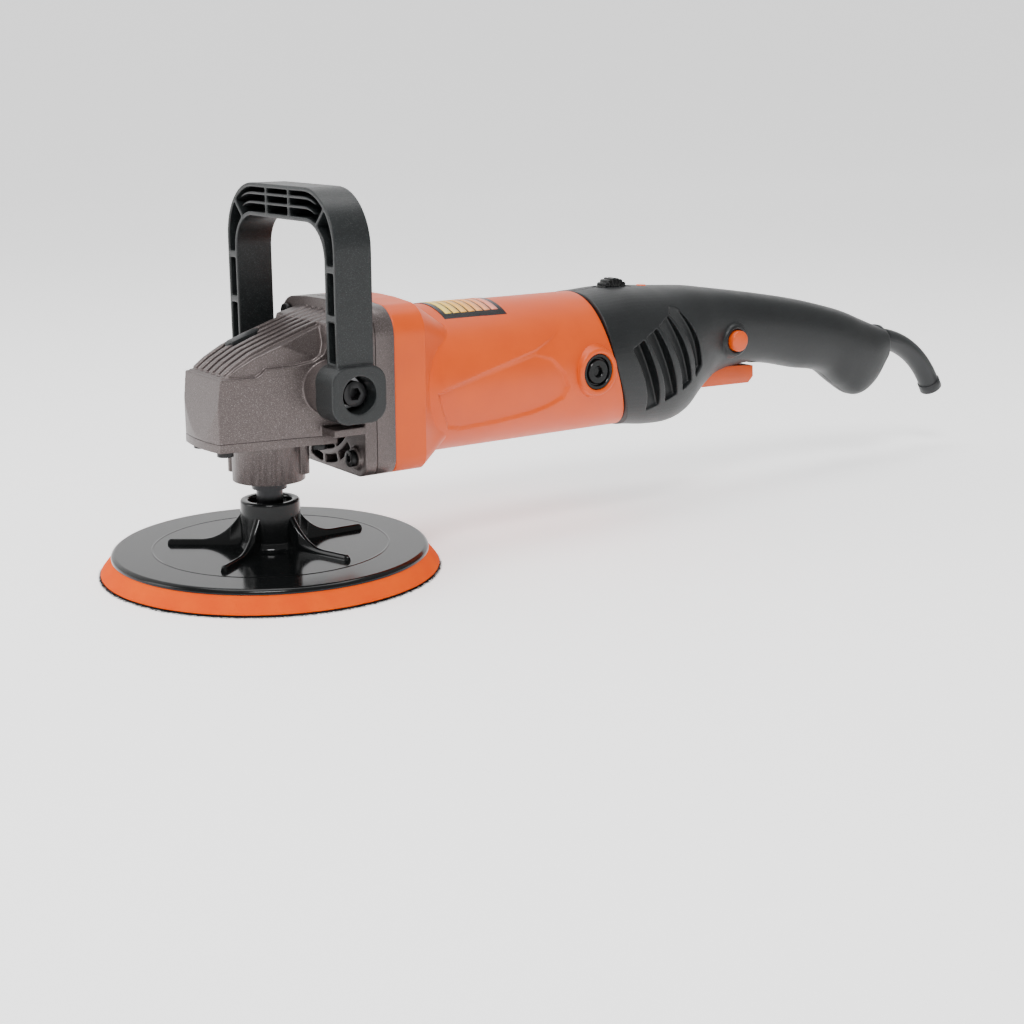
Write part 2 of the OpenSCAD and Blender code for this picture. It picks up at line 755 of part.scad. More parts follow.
// One half of the handle, y >= 0, as a shell open along the split line
module handle_shell() {
  rings = 34;
  arc = 12;
  m = 2 * (arc + 1);
  xs = [for (i = [0:rings]) handle_x + (handle_end_x - handle_x) * i / rings];
  pts = [for (x = xs) each concat(
    [for (k = [0:arc]) handle_point(x, 90 - 180 * k / arc, 0)],
    [for (k = [arc:-1:0]) handle_point(x, 90 - 180 * k / arc, shell_wall)])];
  walls = [for (i = [0:rings - 1]) for (k = [0:m - 1]) let(a = i * m + k, b = i * m + (k + 1) % m)
    each [[a, b, a + m], [b, b + m, a + m]]];
  front = [for (k = [0:arc - 1]) each [[k, m - 1 - k, k + 1], [k + 1, m - 1 - k, m - 2 - k]]];
  back = [for (f = front) [f[0] + rings * m, f[2] + rings * m, f[1] + rings * m]];
  polyhedron(pts, concat(walls, front, back));
}

// Slanted vent, bowed towards the rear, cut right through the side of a shell
module vent(x_top, z_top, x_low, z_low, w) {
  bow = 5;
  line = [for (t = [0:0.2:1]) [x_top + (x_low - x_top) * t + bow * 4 * t * (1 - t) * 0.5,
    z_top + (z_low - z_top) * t]];
  translate([0, 60, 0]) rotate([90, 0, 0]) linear_extrude(50)
    polygon(concat([for (p = line) p], [for (i = [len(line) - 1:-1:0]) line[i] + [w, 3]]));
}

// Top and bottom of each vent
vents = [[215.3, 102, 231.5, 65], [227, 106.5, 244.5, 69.5], [239.5, 111, 258, 73.5],
  [250.5, 116.5, 269.5, 79]];

// Solid block with the outside shape of one handle half, a little inside its skin
module handle_block() {
  rings = 24;
  arc = 10;
  m = arc + 1;
  skin = 0.6;
  xs = [for (i = [0:rings]) handle_x + 20 + (handle_end_x - handle_x - 20) * i / rings];
  pts = [for (x = xs) each [for (k = [0:arc]) handle_point(x, 90 - 180 * k / arc, skin)]];
  walls = [for (i = [0:rings - 1]) for (k = [0:m - 1]) let(a = i * m + k, b = i * m + (k + 1) % m)
    each [[a, b, a + m], [b, b + m, a + m]]];
  front = [for (k = [1:arc - 1]) [0, k + 1, k]];
  back = [for (f = front) [f[0] + rings * m, f[2] + rings * m, f[1] + rings * m]];
  polyhedron(pts, concat(walls, front, back));
}

// Wall at the rear end of one half, round the cord guard
module handle_end_wall() {
  wall = 2.4;
  x = handle_end_x - 0.3;
  cross_slab(handle_end_x - wall, handle_end_x)
    polygon([for (k = [0:12]) let(p = handle_point(x, 90 - 15 * k, 0.5)) [p[1], p[2]]]);
}

// Inside features both halves share: screw towers, pin bosses and the shelves for the parts within
module handle_ribs(tower_r) {
  intersection() {
    handle_block();
    union() {
      for (p = handle_screw_spots) rod_y(0, 45, tower_r, p[0], p[1]);
      rod_y(9.3, 45, 3.4, trigger_hinge_x, trigger_hinge_z);
      for (x = [293.5, 331]) translate([x, 9, 90]) cube([3, 30, 14]);
      for (x = [222, 240]) translate([x, 14, 105]) cube([3, 40, 8]);
      translate([436, 8, 66]) cube([8, 30, 4]);
    }
  }
}

module handle_half(tower_r) {
  difference() {
    union() {
      handle_shell();
      handle_end_wall();
      handle_ribs(tower_r);
    }
    translate([284.6, -1, 60]) cube([58, 10.2, 27]);
    rod_y(-1, 16.2, 1.5, trigger_hinge_x, trigger_hinge_z);
    translate([dial_x - dial_r - 1.2, -1, dial_z - 1]) cube([2 * dial_r + 2.4, 5.6, 14]);
    for (v = vents) vent(v[0], v[1], v[2], v[3], 7.6);
    translate([253, 0, 120]) cylinder(h = 16, r = 3.1);
    guard_frame() rotate([0, 90, 0]) {
      translate([0, 0, -12]) cylinder(h = 18, r = 7.3);
      translate([0, 0, -9.3]) cylinder(h = 3.6, r = 9.3);
    }
  }
}

handle_screw_spots = [[246, 60.5], [262, 121], [352, 110], [366, 81], [432, 60]];

// Depth at which a screw head sits in the right half
function head_seat(p) = station_at(p[0], 3) * 0.55;

module handle_right() {
  color("#25282a") difference() {
    handle_half(5);
    for (p = handle_screw_spots) rod_y(-1, 50, 1.6, p[0], p[1]);
    for (p = handle_screw_spots) rod_y(head_seat(p), 60, 3.6, p[0], p[1]);
  }
}

module handle_left() {
  ring_r = 10.2;
  color("#25282a") mirror([0, 1, 0]) difference() {
    union() {
      handle_half(4);
      rod_y(17, 24.4, ring_r, grip_button_x, grip_button_z);
    }
    for (p = handle_screw_spots) rod_y(-1, 8, 1.5, p[0], p[1]);
    rod_y(9.5, 30, 6.7, grip_button_x, grip_button_z);
  }
}

module handle_screws() {
  color("#202123") for (p = handle_screw_spots) {
    rod_y(head_seat(p), head_seat(p) + 2.4, 3.3, p[0], p[1]);
    rod_y(-7.4, head_seat(p), 1.5, p[0], p[1]);
  }
}

module switch_body() {
  color("#34373a") difference() {
    translate([292, -9, 88]) cube([44, 18, 18]);
    rod_y(-10, -3, 2.6, grip_button_x, grip_button_z);
  }
}

module speed_module() {
  color("#1f3a2a") {
    translate([213, -14, 104]) cube([36, 28, 10]);
    on_both_sides() translate([dial_x - 2.4, 5.2, 113.5]) cube([4.8, 1.8, dial_z - 113.5]);
    on_both_sides() rod_y(5.2, 7, 2.4, dial_x, dial_z);
    rod_y(-5.4, 5.4, 1.6, dial_x, dial_z);
  }
}

module power_light() {
  color("orangered") {
    translate([253, 0, 128]) cylinder(h = 5.3, r = 3);
    translate([253, 0, 128]) cylinder(h = 1, r = 4);
  }
}

module cord_clamp() {
  bar_w = 17.2;
  color("#222") difference() {
    union() {
      translate([436, -bar_w / 2, 70]) cube([8, bar_w, 5.5]);
      translate([436, -bar_w / 2, 88]) cube([8, bar_w, 3]);
      for (s = [-1, 1]) translate([440, s * 7.4, 75]) cylinder(h = 14, r = 1.2);
    }
    rod_x(430, 450, 6.1, 82);
  }
}

// ---------- cord guard ----------
guard_bend_r = 76;
guard_start = [470, 82];
guard_turn = 48;
guard_drop = 10;

guard_centre = guard_start - guard_bend_r * [sin(guard_drop), cos(guard_drop)];
mouth_len = 6;

module cord_guard() {
  root_r = 6.9;
  bore_r = 4.1;
  color("#2a2c2e") difference() {
    union() {
      guard_bend(7);
      guard_frame() rotate([0, 90, 0]) {
        translate([0, 0, -9]) cylinder(h = 9.3, r = root_r);
        translate([0, 0, -9]) cylinder(h = 3, r = 9);
      }
      guard_mouth() translate([0, 0, -0.3]) cylinder(h = mouth_len + 0.3, r = 7.7);
    }
    guard_bend(4);
    guard_frame() rotate([0, 90, 0]) translate([0, 0, -10]) cylinder(h = 10.4, r = bore_r);
    guard_mouth() translate([0, 0, -0.4]) cylinder(h = mouth_len + 1, r = bore_r);
  }
}

// Places children at the start of the bend, with X along the guard
module guard_frame() {
  translate([guard_centre[0], 0, guard_centre[1]]) rotate([0, guard_drop, 0]) translate([0, 0, guard_bend_r])
    children();
}

// Places children at the end of the bend, with Z along the guard
module guard_mouth() {
  translate([guard_centre[0], 0, guard_centre[1]]) rotate([0, guard_drop + guard_turn, 0])
    translate([0, 0, guard_bend_r]) rotate([0, 90, 0]) children();
}

module guard_bend(r) {
  translate([guard_centre[0], 0, guard_centre[1]]) rotate([90, 0, 0])
    rotate([0, 0, 90 - guard_drop - guard_turn]) rotate_extrude(angle = guard_turn, $fn = 128)
      translate([guard_bend_r, 0]) circle(r);
}

// ---------- loop handle ----------

// U outline in (y, z): half width, top, corner radius and leg foot
module loop_outline(half_w, top_z, r, foot_z) {
  translate([-half_w, foot_z]) square([2 * half_w, top_z - r - foot_z]);
  translate([-half_w + r, top_z - r - 1]) square([2 * half_w - 2 * r, r + 1]);
  for (s = [-1, 1]) translate([s * (half_w - r), top_z - r]) circle(r);
}

module loop_band(inset_out, inset_in, foot_z) {
  half_w = loop_w / 2;
  difference() {
    loop_outline(half_w - inset_out, loop_top_z - inset_out, 30 - inset_out, foot_z);
    loop_outline(half_w - loop_leg + inset_in, loop_top_z - loop_bar + inset_in, 18 + inset_in, foot_z - 1);
  }
}

module loop_handle() {
  pocket_depth = 15;
  wall = 2.2;
  rib_t = 1.8;
  color("#2b2f30") difference() {
    union() {
      difference() {
        cross_slab(loop_x, loop_x + loop_depth) loop_band(0, 0, bolt_z);
        difference() {
          cross_slab(loop_x - 1, loop_x + pocket_depth) loop_band(wall, wall, bolt_z + 16);
          for (z = [bolt_z + 36, bolt_z + 60]) translate([loop_x - 2, -60, z]) cube([20, 120, 2 * rib_t]);
          for (y = [-12, 12]) translate([loop_x - 2, y - rib_t / 2, 170]) cube([20, rib_t, 40]);
          for (s = [-1, 1]) translate([loop_x - 2, s * 26, 168]) rotate([-45 * s, 0, 0])
            translate([0, -rib_t / 2, 0]) cube([20, rib_t, 60]);
          for (lane = [4.6, 9.3]) cross_slab(loop_x - 2, loop_x + 17) difference() {
            loop_band(lane, loop_bar - lane - 1.4, bolt_z);
            translate([-70, 0]) square([140, 168]);
          }
        }
      }
      on_both_sides() translate([bolt_x, -boss_in_y, bolt_z]) rotate([90, 0, 0])
        linear_extrude(boss_out_y - boss_in_y) soft_square(31, 29, 9);
    }
    on_both_sides() rod_y(45.6, 70, 9.5, bolt_x, bolt_z);
    on_both_sides() rod_y(40, 50, 4.2, bolt_x, bolt_z);
  }
}

module handle_bolts() {
  color("#1d1e20") on_both_sides() difference() {
    union() {
      rod_y(47.4, 55.2, 6.4, bolt_x, bolt_z);
      rod_y(28, 48, 4, bolt_x, bolt_z);
    }
    translate([bolt_x, 51, bolt_z]) rotate([-90, 0, 0]) cylinder(h = 10, r = 3.4, $fn = 6);
  }
}

module handle_washers() {
  color("silver") on_both_sides() difference() {
    rod_y(45.6, 47.4, 8.2, bolt_x, bolt_z);
    rod_y(45, 48, 4.2, bolt_x, bolt_z);
  }
}

// ---------- controls ----------

module trigger() {
  color("#f06a1d") difference() {
    union() {
      side_slab(17) polygon([[285.6, 77], [294, 79.5], [328, 78], [340.5, 77], [341, 70], [337, 66.2],
        [300, 67], [289, 67.5], [285.6, 70]]);
      rod_y(-8.5, 8.5, 3.6, trigger_hinge_x, trigger_hinge_z);
    }
    rod_y(-10, 10, 1.55, trigger_hinge_x, trigger_hinge_z);
    translate([299, -6, 71]) cube([36, 12, 12]);
  }
}

module trigger_pin() {
  color("silver") rod_y(-16, 16, 1.5, trigger_hinge_x, trigger_hinge_z);
}

module trigger_spring() {
  color("silver") translate([326, 0, 71.3]) coil_spring(3, 0.45, 5, 16.4);
}

module lock_on_button() {
  color("#f06a1d") {
    rod_y(-27.4, -16.4, 6.4, grip_button_x, grip_button_z);
    rod_y(-17, -7, 2.2, grip_button_x, grip_button_z);
  }
}

module speed_dial() {
  notches = 20;
  color("#1f2122") difference() {
    rod_y(-4, 4, dial_r, dial_x, dial_z);
    rod_y(-5, 5, 1.65, dial_x, dial_z);
    for (i = [0:notches - 1]) translate([dial_x, 0, dial_z]) rotate([0, i * 360 / notches, 0])
      translate([dial_r + 0.2, 5, 0]) rotate([90, 0, 0]) cylinder(h = 10, r = 0.9);
  }
}

module spindle_lock() {
  color("#3a3d3f") {
    difference() {
      intersection() {
        translate([0, 0, 116.3]) linear_extrude(14) lock_plan(0);
        side_slab(60) polygon([[-17, 116], [-17, 118.6], [-13, 120.6], [4, 126.2], [4, 116]]);
      }
      translate([lock_pos[0], lock_pos[1], 115]) cylinder(h = 4.5, r = 2.9);
    }
    translate([lock_pos[0], lock_pos[1], 112.3]) cylinder(h = 8, r = 1.5);
  }
}

module spindle_lock_spring() {
  color("silver") translate([lock_pos[0], lock_pos[1], 112.5]) coil_spring(2.2, 0.3, 4, 7);
}

foam_pad();
hook_face();
backing_plate();
threaded_insert();
spindle();
spindle_spacer();
spindle_key();
bevel_gear();
bevel_pinion_shaft();
reduction_gear();
armature_shaft();
armature_core();
armature_windings();
commutator();
cooling_fan();
gear_housing();
bearing_cover();
cover_screws();
spindle_seal();
spindle_bearing_lower();
spindle_circlip();
spindle_bearing_upper();
layshaft_bearing_front();
layshaft_bearing_rear();
armature_bearing_front();
armature_bearing_rear();
rear_bearing_sleeve();
motor_bracket();
flange_screws();
motor_housing();
fan_baffle();
stator_core();
field_coils();
brush_holders();
carbon_brushes();
brush_springs();
brush_caps();
speed_label();
handle_left();
handle_right();
handle_screws();
switch_body();
speed_module();
power_light();
cord_clamp();
cord_guard();
loop_handle();
handle_bolts();
handle_washers();
trigger();
trigger_pin();
trigger_spring();
lock_on_button();
speed_dial();
spindle_lock();
spindle_lock_spring();
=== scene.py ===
"""Rotary polisher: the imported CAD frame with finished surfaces, a studio floor and one camera. Metres."""
import json
import math
import random

import bmesh
import bpy
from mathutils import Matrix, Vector, noise


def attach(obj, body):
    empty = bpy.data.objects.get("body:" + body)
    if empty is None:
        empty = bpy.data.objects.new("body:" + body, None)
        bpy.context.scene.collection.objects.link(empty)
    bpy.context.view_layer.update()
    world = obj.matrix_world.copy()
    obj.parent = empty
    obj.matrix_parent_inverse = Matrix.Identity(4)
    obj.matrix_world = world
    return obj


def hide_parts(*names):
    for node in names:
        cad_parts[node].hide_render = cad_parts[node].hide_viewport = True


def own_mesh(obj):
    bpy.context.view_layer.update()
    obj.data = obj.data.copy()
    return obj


MM = 0.001
random.seed(7)
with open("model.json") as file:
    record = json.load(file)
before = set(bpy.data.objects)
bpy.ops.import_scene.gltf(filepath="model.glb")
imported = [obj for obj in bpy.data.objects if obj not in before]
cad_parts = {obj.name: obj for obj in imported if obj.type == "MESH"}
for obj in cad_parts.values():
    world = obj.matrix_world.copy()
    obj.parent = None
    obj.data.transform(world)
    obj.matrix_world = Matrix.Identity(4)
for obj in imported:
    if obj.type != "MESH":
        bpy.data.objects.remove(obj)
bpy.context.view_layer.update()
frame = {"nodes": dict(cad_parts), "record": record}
nodes = frame["nodes"]
body_of_node = {n: b for b, names in frame["record"]["behaviour"]["bodies"].items() for n in names}
slot_of_node = {s["node"]: s["material_slot"] for s in frame["record"]["subparts"]}

# ---------- camera ----------

CAMERA_AT = Vector((-0.3829, -0.7465, 0.2430))
CAMERA_AIM = Vector((0.15748, 0.0, 0.00635))
LENS_MM = 56.99
camera_data = bpy.data.cameras.new("camera")
camera_data.lens = LENS_MM
camera_data.sensor_width = 36
camera_data.clip_start = 0.05
camera_data.clip_end = 20
camera = bpy.data.objects.new("camera", camera_data)
camera.location = CAMERA_AT
camera.rotation_mode = "QUATERNION"
camera.rotation_quaternion = (CAMERA_AIM - CAMERA_AT).to_track_quat("-Z", "Y")
bpy.context.scene.collection.objects.link(camera)
bpy.context.scene.camera = camera

# ---------- materials ----------

COAT_ROUGH, RELIEF_M = 0.08, 0.0002
FLECK_FROM, FLECK_FULL = 0.58, 0.72

def material(name, colour, dark, rough, metal=0.0, grain=0.0, grain_scale=1500.0, coat=0.0, shade_scale=60.0,
             rough_spread=0.08, gloss=0.5):
    """A surface whose colour, roughness and relief all vary a little, as a moulded or machined one does."""
    m = bpy.data.materials.new(name)
    m.use_nodes = True
    tree = m.node_tree
    shader = tree.nodes["Principled BSDF"]
    place = tree.nodes.new("ShaderNodeTexCoord")
    cloud = tree.nodes.new("ShaderNodeTexNoise")
    cloud.inputs["Scale"].default_value = shade_scale
    cloud.inputs["Detail"].default_value = 4
    tree.links.new(place.outputs["Object"], cloud.inputs["Vector"])
    ramp = tree.nodes.new("ShaderNodeValToRGB")
    ramp.color_ramp.elements[0].position = 0.3
    ramp.color_ramp.elements[0].color = (*dark, 1)
    ramp.color_ramp.elements[1].position = 0.7
    ramp.color_ramp.elements[1].color = (*colour, 1)
    tree.links.new(cloud.outputs["Fac"], ramp.inputs["Fac"])
    tree.links.new(ramp.outputs["Color"], shader.inputs["Base Color"])
    spread = tree.nodes.new("ShaderNodeMapRange")
    spread.inputs["To Min"].default_value = max(rough - rough_spread, 0.02)
    spread.inputs["To Max"].default_value = min(rough + rough_spread, 1.0)
    tree.links.new(cloud.outputs["Fac"], spread.inputs["Value"])
    tree.links.new(spread.outputs["Result"], shader.inputs["Roughness"])
    shader.inputs["Metallic"].default_value = metal
    shader.inputs["Coat Weight"].default_value = coat
    shader.inputs["Coat Roughness"].default_value = COAT_ROUGH
    shader.inputs["Specular IOR Level"].default_value = gloss
    fine = tree.nodes.new("ShaderNodeTexNoise")
    fine.inputs["Scale"].default_value = grain_scale
    fine.inputs["Detail"].default_value = 2
    tree.links.new(place.outputs["Object"], fine.inputs["Vector"])
    bump = tree.nodes.new("ShaderNodeBump")
    bump.inputs["Strength"].default_value = grain
    bump.inputs["Distance"].default_value = RELIEF_M
    tree.links.new(fine.outputs["Fac"], bump.inputs["Height"])
    tree.links.new(bump.outputs["Normal"], shader.inputs["Normal"])
    return m


def sparkle(m, colour, scale, share):
    """Adds bright flecks to a textured paint or filled plastic."""
    tree = m.node_tree
    shader = tree.nodes["Principled BSDF"]
    base = shader.inputs["Base Color"].links[0].from_socket
    place = next(n for n in tree.nodes if n.type == "TEX_COORD")
    cells = tree.nodes.new("ShaderNodeTexNoise")
    cells.inputs["Scale"].default_value = scale
    cells.inputs["Detail"].default_value = 1
    tree.links.new(place.outputs["Object"], cells.inputs["Vector"])
    pick = tree.nodes.new("ShaderNodeMapRange")
    pick.inputs["From Min"].default_value = FLECK_FROM
    pick.inputs["From Max"].default_value = FLECK_FULL
    pick.inputs["To Max"].default_value = share
    tree.links.new(cells.outputs["Fac"], pick.inputs["Value"])
    mix = tree.nodes.new("ShaderNodeMix")
    mix.data_type = "RGBA"
    tree.links.new(pick.outputs["Result"], mix.inputs["Factor"])
    tree.links.new(base, mix.inputs["A"])
    mix.inputs["B"].default_value = (*colour, 1)
    tree.links.new(mix.outputs["Result"], shader.inputs["Base Color"])
    return m


def label_bar_paint():
    """Yellow running to orange and pink along the label."""
    m = material("label_bar", (0.9, 0.6, 0.1), (0.88, 0.55, 0.08), 0.35)
    tree = m.node_tree
    place = next(n for n in tree.nodes if n.type == "TEX_COORD")
    split = tree.nodes.new("ShaderNodeSeparateXYZ")
    tree.links.new(place.outputs["Object"], split.inputs["Vector"])
    along = tree.nodes.new("ShaderNodeMapRange")
    along.inputs["From Min"].default_value = 0.100
    along.inputs["From Max"].default_value = 0.136
    tree.links.new(split.outputs["X"], along.inputs["Value"])
    ramp = tree.nodes.new("ShaderNodeValToRGB")
    ramp.color_ramp.elements[0].color = (0.86, 0.62, 0.08, 1)
    ramp.color_ramp.elements[1].color = (0.80, 0.20, 0.16, 1)
    ramp.color_ramp.elements.new(0.5).color = (0.88, 0.38, 0.05, 1)
    tree.links.new(along.outputs["Result"], ramp.inputs["Fac"])
    tree.links.new(ramp.outputs["Color"], tree.nodes["Principled BSDF"].inputs["Base Color"])
    return m


ORANGE = dict(colour=(0.60, 0.070, 0.0), dark=(0.56, 0.062, 0.0))
CHARCOAL = dict(colour=(0.0075, 0.0088, 0.0094), dark=(0.005, 0.006, 0.0064))

SURFACES = {
    "foam": dict(colour=(0.72, 0.085, 0.0), dark=(0.66, 0.062, 0.0), rough=0.9,
                 grain=0.5, grain_scale=900, gloss=0.1),
    "hook": dict(colour=(0.02, 0.02, 0.022), dark=(0.008, 0.008, 0.009), rough=0.9,
                 grain=0.9, grain_scale=2200, gloss=0.1),
    "black_plastic": dict(colour=(0.0045, 0.005, 0.0052), dark=(0.003, 0.0034, 0.0036), rough=0.12,
                          gloss=0.22, rough_spread=0.03),
    "steel": dict(colour=(0.55, 0.55, 0.56), dark=(0.45, 0.45, 0.46), rough=0.28, metal=1, grain=0.1),
    "dark_steel": dict(colour=(0.018, 0.018, 0.02), dark=(0.01, 0.01, 0.011), rough=0.3,
                       metal=0.6, grain=0.1),
    "gear_steel": dict(colour=(0.35, 0.35, 0.36), dark=(0.28, 0.28, 0.29), rough=0.3, metal=1, grain=0.1),
    "laminations": dict(colour=(0.22, 0.23, 0.25), dark=(0.15, 0.15, 0.17), rough=0.4, metal=0.8, grain=0.2),
    "copper": dict(colour=(0.6, 0.22, 0.08), dark=(0.45, 0.15, 0.05), rough=0.3, metal=0.9, grain=0.2),
    "inner_plastic": dict(colour=(0.012, 0.013, 0.014), dark=(0.008, 0.009, 0.01), rough=0.5, grain=0.1),
    "case_paint": dict(colour=(0.098, 0.080, 0.077), dark=(0.078, 0.063, 0.061), rough=0.38, metal=0.6,
                       grain=0.4, grain_scale=1100, shade_scale=900),
    "black_steel": dict(colour=(0.01, 0.01, 0.011), dark=(0.006, 0.006, 0.0065), rough=0.35, metal=0.5),
    "seal_rubber": dict(colour=(0.01, 0.01, 0.01), dark=(0.007, 0.007, 0.007), rough=0.6),
    "orange_plastic": dict(**ORANGE, rough=0.4, grain=0.05, gloss=0.35),
    "brass": dict(colour=(0.65, 0.45, 0.18), dark=(0.5, 0.34, 0.12), rough=0.3, metal=1),
    "carbon": dict(colour=(0.03, 0.03, 0.032), dark=(0.02, 0.02, 0.02), rough=0.6),
    "label": dict(colour=(0.006, 0.006, 0.007), dark=(0.004, 0.004, 0.005), rough=0.25, gloss=0.3),
    "grip_plastic": dict(**CHARCOAL, rough=0.42, grain=0.35, grain_scale=1600, gloss=0.35),
    "circuit": dict(colour=(0.02, 0.09, 0.04), dark=(0.01, 0.06, 0.03), rough=0.4),
    "orange_lens": dict(colour=(0.95, 0.12, 0.003), dark=(0.85, 0.10, 0.002), rough=0.2, coat=0.4),
    "guard_rubber": dict(colour=(0.011, 0.012, 0.013), dark=(0.008, 0.009, 0.01), rough=0.38,
                         grain=0.08, gloss=0.4),
    "loop_plastic": dict(colour=(0.0078, 0.0094, 0.0098), dark=(0.005, 0.0062, 0.0066), rough=0.4,
                         grain=0.45, grain_scale=1300, shade_scale=700, gloss=0.4),
    "control_plastic": dict(**ORANGE, rough=0.36, gloss=0.4),
    "label_mark": dict(colour=(0.75, 0.74, 0.70), dark=(0.7, 0.69, 0.65), rough=0.4),
}
MATERIALS = {name: material(name, **surface) for name, surface in SURFACES.items()}
sparkle(MATERIALS["case_paint"], colour=(0.34, 0.30, 0.29), scale=3000, share=0.55)
sparkle(MATERIALS["loop_plastic"], colour=(0.08, 0.09, 0.09), scale=2400, share=0.35)
sparkle(MATERIALS["grip_plastic"], colour=(0.035, 0.038, 0.04), scale=2200, share=0.35)

for node_name, node_object in nodes.items():
    node_object.data.materials.clear()
    node_object.data.materials.append(MATERIALS[slot_of_node[node_name]])

# ---------- mesh helpers ----------

SHARP = math.radians(40)


def extra(name, mesh, body, slot):
    """Puts a mesh in the scene that stands for no CAD node of its own."""
    o = bpy.data.objects.new(name, mesh)
    bpy.context.scene.collection.objects.link(o)
    o.data.materials.clear()
    o.data.materials.append(MATERIALS[slot])
    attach(o, body)
    return o


def link(name, mesh, node):
    """Puts a mesh in the scene in place of a CAD node, riding on that node's body."""
    o = extra(name, mesh, body_of_node[node], slot_of_node[node])
    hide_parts(node)
    return o


def mesh_from(name, verts, faces):
    """A smooth-shaded mesh of vertices and faces."""
    mesh = bpy.data.meshes.new(name)
    mesh.from_pydata([tuple(v) for v in verts], [], faces)
    mesh.update()
    for p in mesh.polygons:
        p.use_smooth = True
    return mesh


def cad_copy(node, name):
    """The CAD node's mesh, welded, with its flat faces made whole."""
    mesh = nodes[node].data.copy()
    mesh.name = name
    bm = bmesh.new()
    bm.from_mesh(mesh)
    bmesh.ops.remove_doubles(bm, verts=bm.verts, dist=2e-6)
    bmesh.ops.dissolve_limit(bm, angle_limit=math.radians(0.6), verts=bm.verts, edges=bm.edges)
    bm.to_mesh(mesh)
    bm.free()
    for p in mesh.polygons:
        p.use_smooth = True
    mesh.normals_split_custom_set([(0, 0, 0)] * len(mesh.loops))
    return mesh


def cad_piece(node, name):
    """A visible piece with the CAD node's own shape."""
    return link(name, cad_copy(node, name), node)


def apply_modifiers(o):
    """Replaces an object's mesh by what its modifiers make of it."""
    bpy.context.view_layer.update()
    done = bpy.data.meshes.new_from_object(o.evaluated_get(bpy.context.evaluated_depsgraph_get()))
    o.modifiers.clear()
    o.data = done


def bevel(o, width):
    """Rounds an object's sharp edges."""
    b = o.modifiers.new("round", "BEVEL")
    b.width = width
    b.segments = 2
    b.limit_method = "ANGLE"
    b.angle_limit = math.radians(35)
    b.harden_normals = True
    b.use_clamp_overlap = True
    apply_modifiers(o)
    o.data.set_sharp_from_angle(angle=SHARP)


def melt(o, voxel, rounds, keep):
    """Remeshes a solid finely and softens its edges, as a casting's are."""
    r = o.modifiers.new("remesh", "REMESH")
    r.mode = "VOXEL"
    r.voxel_size = voxel
    s = o.modifiers.new("soften", "SMOOTH")
    s.iterations = rounds
    s.factor = 0.5
    d = o.modifiers.new("thin", "DECIMATE")
    d.ratio = keep
    apply_modifiers(o)
    for p in o.data.polygons:
        p.use_smooth = True


def cut(o, tool):
    """Takes one solid out of another and throws the first away."""
    b = o.modifiers.new("cut", "BOOLEAN")
    b.operation = "DIFFERENCE"
    b.solver = "EXACT"
    b.object = tool
    apply_modifiers(o)
    bpy.data.objects.remove(tool)


def revolve(profile, steps, place):
    """Vertices and faces of a two-number profile turned round an axis; place gives each point at an angle."""
    verts = [place(r, h, 2 * math.pi * i / steps) for i in range(steps) for r, h in profile]
    n = len(profile)
    faces = []
    for i in range(steps):
        j = (i + 1) % steps
        for k in range(n - 1):
            faces.append([i * n + k, j * n + k, j * n + k + 1, i * n + k + 1])
    return verts, faces


# ---------- plain pieces: CAD shapes with rounded edges ----------

# bevel width of each, in millimetres
ROUNDED = {
    "bearing_cover": 0.5, "motor_bracket": 0.4, "flange_screws": 0.3, "cover_screws": 0.4,
    "spindle_lock": 0.7, "speed_dial": 0.25, "handle_bolts": 0.4, "trigger": 1.2,
    "lock_on_button": 1.0, "power_light": 0.5, "cord_guard": 0.4, "handle_screws": 0.3,
}
for node_name, width in ROUNDED.items():
    bevel(cad_piece(node_name, node_name + "_shape"), width * MM)

melt(cad_piece("gear_housing", "gear_case"), voxel=0.42 * MM, rounds=3, keep=0.45)
melt(cad_piece("loop_handle", "loop_grip"), voxel=0.45 * MM, rounds=3, keep=0.4)

# ---------- lofts ----------


def loft(rings, shell_caps=False):
    """Faces over a list of equal closed rings. With shell_caps each end of a C-shaped wall gets a strip."""
    n = len(rings[0])
    verts = [p for ring in rings for p in ring]
    faces = []
    for i in range(len(rings) - 1):
        for k in range(n):
            a, b = i * n + k, i * n + (k + 1) % n
            faces.append([a, b, b + n, a + n])
    if shell_caps:
        end = (len(rings) - 1) * n
        for k in range(n // 2 - 1):
            quad = [k, n - 1 - k, n - 2 - k, k + 1]
            faces.append(quad)
            faces.append([end + v for v in reversed(quad)])
    return verts, faces


# ---------- motor housing ----------

MOTOR_Z = 92.3
BARREL_R, MOTOR_WALL = 40.6, 2.6
MOTOR_X = 51.3
COLLAR_END_X = 70.0
BARREL_X = 88.0
BRUSH_X, BRUSH_HOLE_R = 187.0, 10.8
TAPER = 1.41
EDGE_R = 0.9
BULGE, PANEL_DEPTH, CREASE_DEPTH = 2.2, 1.9, 1.2
COLLAR_HALF_W, COLLAR_LOW_Z, COLLAR_TOP_Z = 44.0, 51.3, 140.5
COLLAR_LOW_R, COLLAR_TOP_R = 9, 15
# sections stand close together at the collar's edges and across the front of the side panel
FRONT_XS = [51.3, 51.4, 51.6, 51.9, 52.3, 53, 56, 60, 65, 69, 69.6, 70, 70.15, 70.5]
FRONT_XS += [71 + 0.5 * k for k in range(70)]


def arc(cy, cz, r, start, end, steps):
    """Points of an arc between two angles in degrees."""
    return [(cy + r * math.cos(math.radians(start + (end - start) * k / steps)),
             cz + r * math.sin(math.radians(start + (end - start) * k / steps))) for k in range(steps + 1)]


